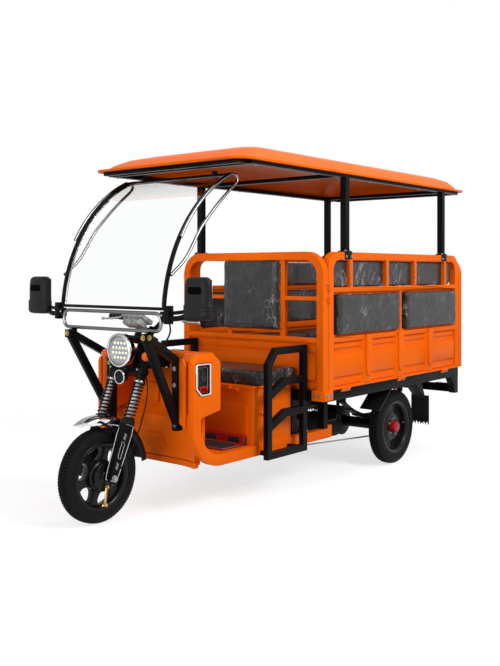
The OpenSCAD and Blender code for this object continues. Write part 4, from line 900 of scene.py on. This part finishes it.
def make_front_guard():
    """Bright front mudguard: a shallow crowned strip round the wheel, and its rubber tail."""
    for name, node, finish, start, end, half in (
            ("front_mudguard_sheet", "front_mudguard", "chrome", 63, 122, 0.056),
            ("front_flap_rubber", "front_flap", "black_plastic", 122.3, 172, 0.052)):
        section = [(0.2480, half), (0.2640, half + 0.0008), (0.2780, half), (0.2845, 0.93 * half),
                   (0.2885, 0.72 * half), (0.2893, 0.40 * half), (0.2910, 0.30 * half), (0.2912, 0.0)]
        sheet = Shape().sweep([on_guard(start, r, y) for r, y in section + flipped(section[:-1])], FRONT_AXLE,
                              end - start, 28)
        # the sheet's skirts rise and draw in towards its tip
        for vert in sheet.bm.verts if finish == "chrome" else ():
            out = vert.co - FRONT_AXLE
            r, turn = math.hypot(out.x, out.z), math.atan2(out.z, out.x)
            share = min((math.degrees(turn) - start) / 20, 1.0)
            grown = max(r, 0.286 - (0.286 - 0.248) * share) / r
            drawn = 0.5 + 0.5 * math.sqrt(max(share, 0.0))
            vert.co = FRONT_AXLE + Vector((out.x * grown, out.y * drawn, out.z * grown))
        piece = sheet.outward().piece(name, finish, "steering", SLOT_OF[node], node, tidy=False)
        wall = piece.modifiers.new("sheet", "SOLIDIFY")
        wall.thickness = 0.0025
        wall.offset = -1


make_front_fittings()
make_springs()
make_legs()
make_headlight()
make_horn()
make_indicators()
make_handlebar()
make_instrument()
make_front_guard()

# Windscreen and mirrors

SCREEN_X, SCREEN_Z, SCREEN_R = 1223, 990, 791
SCREEN_LOW, SCREEN_HIGH = 4.2, 67.3
HALF_SCREEN = 367
# outline of the bowed stays, ahead and up
STAY = [(1986, 1207), (1888, 1279), (1837, 1349), (1780, 1436), (1662, 1552), (1576, 1625), (1488, 1693), (1506, 1722)]
# sections of a mirror's housing: height and half width in metres, share of its depth
MIRROR = [(1.0000, 0.0500, 0.55), (1.0015, 0.0620, 0.75), (1.0060, 0.0740, 0.92), (1.0160, 0.0815, 1.00),
          (1.0380, 0.0830, 1.00), (1.0400, 0.0820, 0.98), (1.0425, 0.0820, 0.98), (1.0445, 0.0830, 1.00),
          (1.0540, 0.0828, 1.00), (1.0560, 0.0816, 0.98), (1.0580, 0.0816, 0.98), (1.0600, 0.0826, 1.00),
          (1.0680, 0.0826, 1.00), (1.0720, 0.0785, 0.93), (1.0760, 0.0770, 0.90), (1.1200, 0.0765, 0.90),
          (1.1600, 0.0750, 0.88), (1.1800, 0.0720, 0.84), (1.1900, 0.0660, 0.74), (1.1960, 0.0560, 0.58),
          (1.1985, 0.0420, 0.40)]
MIRROR_STEPS = 40
MIRROR_DEPTH = 0.042


def on_screen(angle, y, r=SCREEN_R):
    turn = math.radians(angle)
    return at(SCREEN_X + r * math.cos(turn), y, SCREEN_Z + r * math.sin(turn))


def arc_points(y, r=SCREEN_R, start=SCREEN_LOW, end=SCREEN_HIGH, steps=40):
    return [on_screen(start + (end - start) * i / steps, y, r) for i in range(steps + 1)]


SCREEN_FOOT = on_screen(SCREEN_LOW, 0)


def make_screen():
    side, high = arc_points(HALF_SCREEN), on_screen(SCREEN_HIGH, 0)
    tubes, edging = Shape().tube(side + mirrored(side), 11, 6, closed=True), Shape()
    for y in (0.26, -0.26):
        tubes.box((high.x - 0.010, y - 0.010, high.z), (high.x + 0.010, y + 0.010, high.z + 0.026))
    tubes.piece("screen_tubes", "black_steel", replaces="screen_frame", smooth=50)
    # clear sheet, bent once
    edge, lip = HALF_SCREEN - 11.5, 0.85
    line = [on_screen(SCREEN_LOW + lip, share * edge) for share in (-1, -0.5, 0, 0.5, 1)]
    sheet = Shape().sweep(line, at(SCREEN_X, 0, SCREEN_Z), SCREEN_HIGH - SCREEN_LOW - 2 * lip, 48).outward()
    bmesh.ops.solidify(sheet.bm, geom=sheet.bm.faces[:], thickness=0.003)
    sheet.piece("screen_sheet", "clear", replaces="windscreen", tidy=False)
    # bright strips seen along the sheet's edges
    for side in SIDES:
        edging.tube(arc_points(side * (HALF_SCREEN - 17), SCREEN_R - 6, 5.2, 52), 3.5, 2)
    edging.piece("screen_edging", "stainless", slot="black_steel")


def make_braces():
    # loop under the screen, its upper bar close below the black one
    corners = [(0, -22), (352, -22), (352, -108), (-352, -108), (-352, -22), (0, -22)]
    loops = Shape().tube(round_path([SCREEN_FOOT + mm(4, y, z) for y, z in corners], 42, 10)[:-1], 9, 5, closed=True)
    clamps, bolts = Shape(), Shape()
    for side in SIDES:
        y = side * (HALF_SCREEN + 20)
        stay = round_path([at(px, y, pz) for px, pz in STAY], 50, 4)
        loops.tube(stay + arc_points(y, SCREEN_R + 9, 66.0, 30.0, 24), 8, 5)
        # clamps with bolts at the lower corners
        corner = on_screen(SCREEN_LOW, side * HALF_SCREEN)
        clamps.box(corner + mm(-14, -16, -55), corner + mm(12, 16, -12))
        bolts.rod(corner + mm(12, 0, -30), corner + mm(19, 0, -30), 6.5, 6)
    loops.piece("screen_loops", "stainless", slot="chrome", replaces="screen_braces", smooth=50)
    clamps.round(3).piece("screen_clamps", "black_steel")
    bolts.round(0.7).piece("screen_clamp_bolts", "steel", slot="black_steel")


def mirror_ring(middle, height, half, share):
    """One section of a mirror's housing: a rounded oblong, flat at the back."""
    ring = []
    for i in range(MIRROR_STEPS):
        turn = 2 * math.pi * i / MIRROR_STEPS
        c, s = math.cos(turn), math.sin(turn)
        out = abs(s) ** (2 / 3.2) * (1 if s > 0 else -1)
        ahead = abs(c) ** (2 / 3.0) * (1 if c > 0 else -0.35)
        ring.append((middle.x + ahead * MIRROR_DEPTH * share, middle.y + out * half, height))
    return ring


def make_mirrors():
    shell, glass, recess_shade, arms = Shape(), Shape(), Shape(), Shape()
    for side in SIDES:
        middle = Vector((AXLE_X + 1.992, side * 0.573, 0))
        shell.loft([mirror_ring(middle, *section) for section in MIRROR])
        # near-black oblong at the forward face: painted shade standing in for a recess
        place = Matrix.Translation((middle.x + 0.0365, middle.y + side * 0.004, 1.137))
        recess_shade.join(Shape().box((-0.003, -0.040, -0.0165), (0.0042, 0.040, 0.0165), place).round_along("x", 13.5))
        glass.box(middle + Vector((-0.0165, -0.066, 1.062)), middle + Vector((-0.0135, 0.066, 1.186)))
        y = side * (HALF_SCREEN + 13)
        arms.box(SCREEN_FOOT + mm(-18, y, -70), SCREEN_FOOT + mm(18, y + side * 34, 16))
        start = SCREEN_FOOT + mm(0, side * 402, -40)
        knuckle = Vector((middle.x + 0.002, side * 0.515, 1.022))
        path = [start, start + mm(4, side * 50, -5), knuckle, Vector((middle.x, side * 0.56, 1.024))]
        arms.tube(round_path(path, 30), 12.5).tube([start + mm(0, 0, 20), knuckle + mm(0, 0, 18)], 9)
        arms.ball(knuckle, 22, 10)
    # cable from the left mirror's clamp down to the strut
    wire = [SCREEN_FOOT + mm(0, 402, -60), SCREEN_FOOT + mm(-30, 385, -110), at(1985, 345, 880), at(1925, 300, 842),
            at(1850, 268, 812)]
    Shape().tube(round_path(wire, 60), 4.2, 3).piece("mirror_cable", "grips", slot="black_plastic", smooth=60)
    shell.piece("mirror_housings", "black_plastic", replaces="mirrors", smooth=50)
    recess_shade.round(2, 2, 60).piece("mirror_recess_shades", "painted_recess_shade", slot="black_plastic")
    glass.round(1.2).piece("mirror_faces", "mirror", replaces="mirror_glass")
    arms.round(3, 2, 60).piece("mirror_arms", "black_steel", slot="black_plastic")


make_screen()
make_braces()
make_mirrors()

# Pads and cushions, swollen by a cloth simulation and wrapped in clear film

VOXEL = 0.006
SWELL_FRAMES = 20
REST_GAP, OVERSIZE, SLACK = 0.0006, 0.0025, 0.008
SEAM_HOLD = 0.85
# node, side at rest (on the left, for y), swelling, fold height, slant, fine, rounded corners
PADS = [("driver_backrest", "-x", 0.008, 0.0012, 0.4, True, ("x", 14)),
        ("upper_pads", "+y", 0.006, 0.0014, 0.6, True, ("y", 50)),
        ("back_pads", "-y", 0.008, 0.0016, 0.7, True, ("y", 22)),
        ("bench_cushions", "-z", 0.008, 0.0016, 0.5, False, None),
        ("seat_cushion", "-z", 0.009, 0.0040, 1.0, True, ("z", 30))]


class Pad:
    """A pad that fills a box: which of its six sides rests on something, and how it is wrapped."""

    def __init__(self, name, low, high, node, rests, cap, folds, slant, fine, corner):
        self.name, self.low, self.high, self.node, self.rests = name, low, high, node, rests
        self.cap, self.folds, self.slant, self.fine = cap, folds, slant, fine
        start, end = low.copy(), high.copy()
        for axis, letter in enumerate("xyz"):
            start[axis] += REST_GAP if rests == "-" + letter else -OVERSIZE
            end[axis] -= REST_GAP if rests == "+" + letter else -OVERSIZE
        shape = Shape().box(start, end)
        if corner:
            shape.round_along(*corner)
        shape.round(min(300 * min(end - start), 14), 3)
        self.piece = new_object(name, shape.mesh(name))

    def bake_modifiers(self):
        graph = bpy.context.evaluated_depsgraph_get()
        mesh = bpy.data.meshes.new_from_object(self.piece.evaluated_get(graph))
        self.piece.modifiers.clear()
        old = self.piece.data
        self.piece.data = mesh
        bpy.data.meshes.remove(old)
        mesh.name = self.name

    def remesh(self):
        """Even small faces all over, so that the cloth can bend anywhere."""
        remesh = self.piece.modifiers.new("even_faces", "REMESH")
        remesh.mode = "VOXEL"
        remesh.voxel_size = VOXEL
        self.bake_modifiers()

    def normals(self):
        return [normal.vector.copy() for normal in self.piece.data.vertex_normals]

    def add_cloth(self):
        self.before = list(zip((vert.co.copy() for vert in self.piece.data.vertices), self.normals()))
        cloth = self.piece.modifiers.new("cloth", "CLOTH")
        cloth.settings.use_pressure = True
        cloth.settings.uniform_pressure_force = 4.0
        cloth.settings.effector_weights.gravity = 0.0
        cloth.settings.tension_stiffness = 12.0
        cloth.settings.bending_stiffness = 0.3
        cloth.settings.quality = 4
        cloth.collision_settings.use_collision = False
        cloth.point_cache.frame_start = 1
        cloth.point_cache.frame_end = SWELL_FRAMES

    def cap_swelling(self):
        """Eases the swelling off towards its cap, and keeps the seams from being drawn in."""
        for vert, (before, normal) in zip(self.piece.data.vertices, self.before):
            moved = vert.co - before
            moved -= normal * min(moved.dot(normal), 0.0) * SEAM_HOLD
            if moved.length > 1e-6:
                vert.co = before + moved * (self.cap * math.tanh(moved.length / self.cap) / moved.length)

    def crease(self):
        """Folds of the wrapping film, none where the pad rests, then the pad is kept in its own space."""
        for vert, normal in zip(self.piece.data.vertices, self.normals()):
            p = vert.co
            across = Vector((p.x * 16, (p.y + self.slant * p.z) * 22, (p.z - self.slant * p.y) * 9))
            ridge = 1 - abs(noise.noise(across + noise.noise_vector(p * 7) * 0.6)) * 2.6
            fine = 1 - abs(noise.noise(p * 55)) * 3
            vert.co = p + normal * self.folds * (max(ridge, -0.6) + 0.35 * max(fine, -0.5))
            for axis, letter in enumerate("xyz"):
                low = self.low[axis] - (0.0 if self.rests == "-" + letter else SLACK)
                high = self.high[axis] + (0.0 if self.rests == "+" + letter else SLACK)
                vert.co[axis] = min(max(vert.co[axis], low), high)

    def finish(self):
        mesh = self.piece.data
        mesh.shade_smooth()
        mesh.materials.clear()
        mesh.materials.append(FINISHES["pad"])
        if self.fine:
            smoother = self.piece.modifiers.new("smooth", "SUBSURF")
            smoother.levels = smoother.render_levels = 1
        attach(self.piece, frame["nodes"][self.node]["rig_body"])
        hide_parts(self.node)


def part_boxes(node):
    """The boxes of a node's separate solids, each as its lowest and highest corners."""
    bm = Shape(node).bm
    left = set(bm.verts)
    boxes = []
    while left:
        reach = [left.pop()]
        solid = []
        while reach:
            vert = reach.pop()
            solid.append(vert.co.copy())
            near = {edge.other_vert(vert) for edge in vert.link_edges} & left
            left -= near
            reach += near
        boxes.append(tuple(Vector(side(co[i] for co in solid) for i in range(3)) for side in (min, max)))
    bm.free()
    return sorted(boxes, key=lambda box: (box[0].y, box[0].x))


def make_pads():
    pads = []
    for node, rests, *wrapping in PADS:
        boxes = part_boxes(node)
        for i, (low, high) in enumerate(boxes):
            turned = rests.translate(str.maketrans("+-", "-+")) if "y" in rests and high.y < 0 else rests
            name = node if len(boxes) == 1 else f"{node}_{i + 1}"
            pads.append(Pad(f"{name}_soft", low, high, node, turned, *wrapping))
    for pad in pads:
        pad.remesh()
    for pad in pads:
        pad.add_cloth()
    for step in range(1, SWELL_FRAMES + 1):
        bpy.context.scene.frame_set(step)
    for pad in pads:
        pad.bake_modifiers()
        pad.cap_swelling()
    bpy.context.scene.frame_set(1)
    for pad in pads:
        pad.crease()
        pad.finish()


make_pads()

# Front wall of the cab, pressed from sheet

PLATE_REAR, PLATE_FRONT, PLATE_HALF, PLATE_LOW, PLATE_TOP = 1600, 1625, 257, 271, 810
NECK_HALF, NECK_TOP = 34, 715
BULGE_FRONT = [(1727, 299.5), (1722, 286), (1714, 262), (1706, 228), (1701, 180), (1699, 110), (1698, 40)]
BULGE_BACK = [(1624, 250), (1676, 262), (1692, 299.5)]


def make_front_wall():
    plate, pressed, lip, bulge, panel = (Shape() for _ in range(5))
    # the plate leaves a gap above the neck
    for y in SIDES:
        plate.box(at(PLATE_REAR, min(y * NECK_HALF, y * PLATE_HALF), PLATE_LOW),
                  at(PLATE_FRONT, max(y * NECK_HALF, y * PLATE_HALF), PLATE_TOP))
    plate.box(at(PLATE_REAR, -NECK_HALF, PLATE_LOW), at(PLATE_FRONT, NECK_HALF, NECK_TOP))
    # pressings of the upper sheet: bottom, top, outer edge
    for low, high, out in ((752, 803, 250), (644, 742, 240), (532, 632, 232)):
        for y in SIDES:
            corners = [(42, low), (out, low), (out - 10, high), (42, high)]
            pressed.extrude([at(PLATE_FRONT - 0.5, y * a, z) for a, z in corners], (18, 0, 0))
    # lower sheet: bulges forward, meets the hoops in a curve, its top slopes back
    plan = BULGE_FRONT + flipped(BULGE_FRONT) + flipped(BULGE_BACK) + BULGE_BACK
    lip.extrude([at(min(x + 4, 1727), y, 237) for x, y in plan], (0, 0, 30))
    bulge.extrude([at(x, y, PLATE_LOW) for x, y in plan], (0, 0, 205))
    cap = next(f for f in bulge.bm.faces if all(v in bulge.raised for v in f.verts))
    made = bmesh.ops.extrude_face_region(bulge.bm, geom=[cap])["geom"]
    bmesh.ops.delete(bulge.bm, geom=[cap], context="FACES_ONLY")
    for vert in (v for v in made if isinstance(v, bmesh.types.BMVert)):
        vert.co.z += 0.040
        vert.co.x = min(vert.co.x, at(1632, 0, 0).x)
    # raised trapezoid on the lower sheet, and ledges beside it
    panel.extrude([at(1697, y, z) for y, z in ((-74, 318), (74, 318), (48, 386), (-48, 386))], (11, 0, 0))
    for y in SIDES:
        ledge = [(112, 410), (196, 410), (190, 452), (106, 452)]
        panel.extrude([at(1699, y * a, z) for a, z in ledge], (7, 0, 0))
    lip.round(4, 3, 40).piece("front_wall_lip", "orange_paint", smooth=35)
    plate.round(3).piece("front_wall_plate", "orange_paint", replaces="front_wall", smooth=30)
    pressed.round(6, 3).piece("front_wall_pressings", "orange_paint", smooth=30)
    bulge.round(10, 4, 25).piece("front_wall_bulge", "orange_paint")
    panel.round(5, 3).piece("front_wall_panel", "orange_paint", smooth=30)


make_front_wall()

# Cab: lamp housings, lamps, bolts, floor mat and seat box

HALF_CAB, CAB_FRONT, CAB_TOP = 345, 1785, 814
LAMP_LOW, LAMP_HIGH, LAMP_CUT = (1654, 603), (1767, 768), 34
SEAT_HALF, SEAT_TOP = 335, 596
HOUSING_STRIP = [(259, 470), (303, 444), (303, 762), (282, CAB_TOP - 22), (259, CAB_TOP - 22)]
HOUSING_RIDGE = [(318, 436), (343, 422), (343, 752), (318, 770)]
HOUSING_NOTCH = [(1722, 556), (1668, 574), (1668, 586), (1722, 586)]


def lamp_ring(inset, y):
    """Corners of the lamp's outline, drawn in by an inset."""
    low, high = [c + inset for c in LAMP_LOW], [c - inset for c in LAMP_HIGH]
    corners = [low, (high[0] - LAMP_CUT, low[1]), (high[0], low[1] + LAMP_CUT), high, (low[0], high[1])]
    return [at(x, y, z) for x, z in corners]


def make_lamps():
    bezel, line, dark, red, bulb, cover = (Shape() for _ in range(6))
    for side in SIDES:
        y = side * HALF_CAB
        bezel.tube(closed_path(lamp_ring(6, y + side * 1.5), 10), 5.2, 5, closed=True)
        line.tube(closed_path(lamp_ring(22, y - side * 5), 6), 2.4, 3, closed=True)
        dark.extrude(lamp_ring(4, y - side * 13), (0, side * 3, 0))
        red.box(at(1680, y - side * 9, 621), at(1736, y + side * 1, 652))
        ball = at(1704, y - side * 3, 690)
        bulb.ball(ball, 13, 10).rod(ball + mm(0, -side * 3, 12), ball + mm(0, -side * 3, 34), 8.5, 14)
        cover.extrude(lamp_ring(9, y - side * 1.5), (0, side * 2.5, 0))
    bezel.piece("lamp_frames", "chrome", replaces="lamp_bezels", smooth=60)
    line.piece("lamp_inner_frames", "stainless", slot="chrome", smooth=60)
    dark.piece("lamp_backs", "black_plastic", slot="lamp_red")
    red.round(4, 3).piece("lamp_red_blocks", "lamp_red")
    bulb.piece("lamp_bulbs", "lens", slot="lamp_red")
    # clear covers set into the frames
    cover.round(0.6, 1).piece("lamp_covers", "cover", slot="lamp_red", replaces="lamp_lenses")


def make_housings():
    """Hoops and lamp housings, whose outer edges are folded over."""
    hoops, strip, notch = Shape("sill_hoops"), Shape(), Shape()
    edge_y, rear_x, top_z = HALF_CAB / 1000, at(1640, 0, 0).x, (CAB_TOP - 32) / 1000
    folds = [e for e in hoops.bm.edges if e.calc_face_angle(0) > 1 and all(
        abs(abs(v.co.y) - edge_y) < 1e-4 and v.co.z > 0.5 and (v.co.x < rear_x or v.co.z > top_z) for v in e.verts)]
    hoops.bevel(folds, 30, 1).round(2.2, 2, 32)
    hoops.piece("sill_hoops_folded", "orange_paint", replaces="sill_hoops", smooth=30, tidy=False)
    # raised strips on the forward faces, and the notches under the lamps
    for side in SIDES:
        for outline, height in ((HOUSING_STRIP, 13), (HOUSING_RIDGE, 9)):
            strip.extrude([at(CAB_FRONT - 0.5, side * y, z) for y, z in outline], (height, 0, 0))
        notch.extrude([at(x, side * (HALF_CAB - 3), z) for x, z in HOUSING_NOTCH], (0, side * 4.5, 0))
    strip.round(3).piece("housing_strips", "orange_paint")
    notch.piece("housing_notches", "orange_paint")


def make_cab_bolts():
    steel, gold = Shape(), Shape()
    for side in SIDES:
        for z in (742, 660, 520, 460):
            steel.bolt(at(1808, side * 239, z), AHEAD, 7.5)
        strut, out = at(2038, side * 276, 909.9), ACROSS * side
        gold.bolt(strut + AHEAD * 0.020, AHEAD, 9, 9).bolt(strut + out * 0.020, out, 9, 9)
        # stubs of the side guards
        for x in (999, 1239):
            steel.bolt(at(x, side * (HALF_CAB + 52.5), 249.5), out, 6)
    steel.piece("cab_bolts", "steel", slot="black_steel", smooth=30)
    gold.piece("strut_bolts", "gold", slot="black_steel", smooth=30)


def make_floor_mat():
    low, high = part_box("floor_mat")
    mat, rim, inset = Shape(), Shape(), Shape()
    mat.box(low, (high.x, high.y, low.z + 0.006))
    mat.box((low.x, low.y, low.z + 0.0055), (low.x + 0.024, high.y, high.z))
    # raised ribs of the mat
    for i in range(9):
        x = low.x + 0.046 + 0.017 * i
        mat.box((x, low.y + 0.03, low.z + 0.005), (x + 0.006, high.y - 0.03, low.z + 0.0078))
    mat.round(1.2).piece("floor_mat_ribbed", "mat", replaces="floor_mat")
    rear, front, right, left = low.x + 0.030, high.x - 0.006, low.y + 0.008, high.y - 0.008
    border = [(rear, right), (front, right), (front, left), (rear, left)]
    rim.tube(closed_path([Vector((x, y, low.z + 0.0065)) for x, y in border], 20), 3, 3, closed=True)
    # the upstand along the seat box is red with long black insets
    for start, bottom in ((low.x + 0.0235, low.z + 0.007), (low.x + 0.002, high.z - 0.001)):
        rim.box((start, low.y + 0.002, bottom), (low.x + 0.0265, high.y - 0.002, high.z + 0.002))
    for start, end in ((low.y + 0.02, 0.10), (0.18, high.y - 0.03)):
        inset.box((low.x + 0.026, start, low.z + 0.012), (low.x + 0.0282, end, high.z - 0.004))
    rim.piece("floor_mat_rim", "mat_rim", slot="mat", smooth=50)
    inset.round(0.8).piece("floor_mat_insets", "mat")


def make_seat_box():
    dress("seat_box", 3)
    # hasps and pull loops on the box's sides
    hasps, pins = Shape(), Shape()
    for side in SIDES:
        y = side * (SEAT_HALF + 5.2)
        staple = [at(x, y, SEAT_TOP - z) for x, z in ((1116, 96), (1116, 60), (1158, 60), (1158, 96))]
        hasps.tube(round_path(staple, 8), 3.5, 3)
        hasps.box(at(1128, y - side, SEAT_TOP - 66), at(1146, y + side * 4, SEAT_TOP - 20))
        loop = [at(x, y + side * out, SEAT_TOP - z) for x, out, z in ((1198, 0, 128), (1198, 14, 134), (1252, 14, 134),
                                                                      (1252, 0, 128))]
        hasps.tube(round_path(loop, 6), 4, 3)
        for x in (1132, 1142):
            pins.bolt(at(x, y + side * 4, SEAT_TOP - 28), ACROSS * side, 3, 3)
    hasps.round(1, 1, 50).piece("seat_box_hasps", "orange_paint", smooth=50)
    pins.piece("seat_box_pins", "steel", slot="orange_paint", smooth=30)


make_lamps()
make_housings()
make_cab_bolts()
make_floor_mat()
make_seat_box()

# Load body, roof and running gear

WALL_Y = 528
UPPER_BARS = (635, 224, -130, -551)
POSTS = {1: (670, -532), -1: (786, -649)}
HAT = [(-31, 852), (31, 852), (31, 700), (27, 640), (19, 612), (-19, 612), (-27, 640), (-31, 700)]


def make_wall_fittings():
    screws, orange, black = Shape(), Shape(), Shape()
    for side in SIDES:
        out = ACROSS * side

        def on_wall(x, proud, z):
            """A point by its distance out from the wall's face."""
            return at(x, side * (WALL_Y + 0.1 + proud), z)

        # screws that hold the upper pads to their bars
        for bar in UPPER_BARS if side > 0 else UPPER_BARS[1:]:
            for z in (1158, 1192, 1226, 1260):
                screws.bolt(on_wall(bar, 0, z), out, 4.2, 3)
        # hooks that lock the wall to the arch
        for z in (1134, 1063):
            orange.box(on_wall(866, -1, z - 22), on_wall(890, 3, z + 22))
            loop = [(872, 2, -14), (872, 12, -18), (884, 14, 0), (872, 12, 18), (872, 2, 14)]
            orange.tube(round_path([on_wall(x, proud, z + up) for x, proud, up in loop], 8), 3.8, 3)
            screws.bolt(on_wall(884, 3, z + 16), out, 4, 4)
        # drop side hinge tabs on the sill
        for x in (700, 60, -530):
            orange.box(on_wall(x - 46, -4, 541), on_wall(x + 46, 3.5, 561))
            orange.rod(on_wall(x - 46, 3, 558), on_wall(x + 46, 3, 558), 7.5, 14)
            for dx in (-30, 30):
                screws.bolt(on_wall(x + dx, 3.5, 548), out, 5, 4)
        # angle bracket at the front corner
        orange.box(on_wall(832, -3, 503), on_wall(926, 3.5, 561))
        orange.box(at(922, side * 452, 503), on_wall(927.5, 3.5, 561))
        for x, y in ((848, 468), (882, 502)):
            screws.bolt(on_wall(x, 3.5, 528), out, 6.8).bolt(at(927.5, side * y, 530), AHEAD, 6.8)
        # feet that clamp the roof posts to the wall's top tube
        for x in POSTS[side]:
            black.box(on_wall(x - 37, -50, 1337.2), on_wall(x + 37, 2, 1343))
            black.box(on_wall(x - 37, -1, 1296), on_wall(x + 37, 4, 1343))
            for dx in (-26, 26):
                screws.bolt(on_wall(x + dx, 4, 1312), out, 6).bolt(at(x + dx, side * 524, 1343), UP, 6)
    screws.piece("body_screws", "steel", slot="orange_paint", smooth=35)
    orange.round(1.4, 2, 40).piece("body_hooks", "orange_paint", smooth=35)
    black.round(1.4, 2, 40).piece("post_feet", "black_steel", smooth=35)


def make_hats():
    """Hat ribs that stand out from the lower sheet of the walls."""
    hats = Shape()
    for side in SIDES:
        for x in (461, 79, -313):
            hats.extrude([at(x + dx, side * (WALL_Y - 6), z) for dx, z in HAT], (0, side * 23, 0))
    hats.round(4, 3).piece("wall_hats", "orange_paint", smooth=35)


def make_roof():
    """The roof shell with its pressed steps softened, and the tubes under it."""
    Shape("roof_shell").piece("roof_shell_soft", "orange_paint", replaces="roof_shell", smooth=24, tidy=False)
    dress("roof_frame", 2.5)
    bolts = Shape()
    for x in (1500, 1000, 400, -200, -700):
        for side in SIDES:
            bolts.bolt(at(x, side * 508, 1765), -UP, 6)
    bolts.piece("roof_bolts", "steel", slot="black_steel", smooth=30)


def make_mudguards():
    dress("mudguards", 1.2)
    # pressed ribs on the plates ahead of the rear wheels, reflectors under the sills
    ribs, red, teeth = Shape(), Shape(), Shape()
    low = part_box("mudguards")[0]
    edge = [v.co.copy() for v in frame["nodes"]["mudguards"].data.vertices if v.co.z < low.z + 0.012]
    for side in SIDES:
        for y in (405, 445, 485):
            ribs.tube([at(165, side * y, 486), at(286, side * y, 392)], 6, 3)
        red.box(at(28, side * 480, 474), at(72, side * 484, 490))
        # ragged lower edges of the flaps
        mine = [co for co in edge if co.y * side > 0]
        inner, outer = min(abs(co.y) for co in mine), max(abs(co.y) for co in mine)
        front = max(co.x for co in mine)
        for i in range(7):
            y = [side * (inner + (outer - inner) * (i + share) / 7) for share in (0.06, 0.5, 0.94)]
            tooth = [(y[0], 0.052), (y[2], 0.052), (y[1] + side * 0.004, -0.008)]
            teeth.extrude([(front - 0.006, a, low.z + up) for a, up in tooth], (8, 0, 0))
    ribs.piece("mudguard_ribs", "black_plastic", smooth=50)
    red.round(1.6).piece("side_reflectors", "lamp_red")
    teeth.piece("flap_teeth", "black_plastic")


def make_tail_lamps():
    """Red lenses with ribs, in black cases."""
    lens, case = Shape(), Shape()
    low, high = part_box("tail_lamps")
    for side in SIDES:
        right, left = sorted((side * 0.350, side * 0.460))
        case.box((low.x + 0.010, right, low.z), (high.x, left, high.z))
        lens.box((low.x, right + 0.005, low.z + 0.005), (low.x + 0.012, left - 0.005, high.z - 0.005))
        for i in range(9):
            rib = right + 0.012 + i * 0.0108
            lens.box((low.x - 0.0012, rib - 0.002, low.z + 0.008), (low.x + 0.001, rib + 0.002, high.z - 0.008))
    lens.round(1.2).piece("tail_lamp_lenses", "lamp_red", replaces="tail_lamps")
    case.round(4, 3).piece("tail_lamp_cases", "black_plastic", slot="lamp_red")


def make_motor():
    """The motor with its cooling fins and end caps."""
    low, high = (corner * 1000 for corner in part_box("drive_motor"))
    radius, long = (high.z - low.z) / 2, high.y - low.y
    half = [(0, -long / 2), (0.72 * radius, -long / 2), (0.93 * radius, -0.44 * long)]
    fins = []
    for i in range(12):
        base = (0.066 * i - 0.40) * long
        fins += [(0.90 * radius, base), (radius, base + 4), (radius, base + 8), (0.90 * radius, base + 12)]
    Shape().spin(half + fins + flipped(half), (low + high) / 2000, ACROSS).piece(
        "drive_motor_finned", "dark_steel", slot="alloy", replaces="drive_motor", smooth=30)


make_wall_fittings()
make_hats()
make_roof()
make_mudguards()
make_tail_lamps()
make_motor()
dress("seat_lid", 2, finish="orange_paint")

# Rounded skins over the remaining rigid nodes
for node in [node for node in frame["nodes"] if not frame["nodes"][node].hide_render]:
    dress(node)
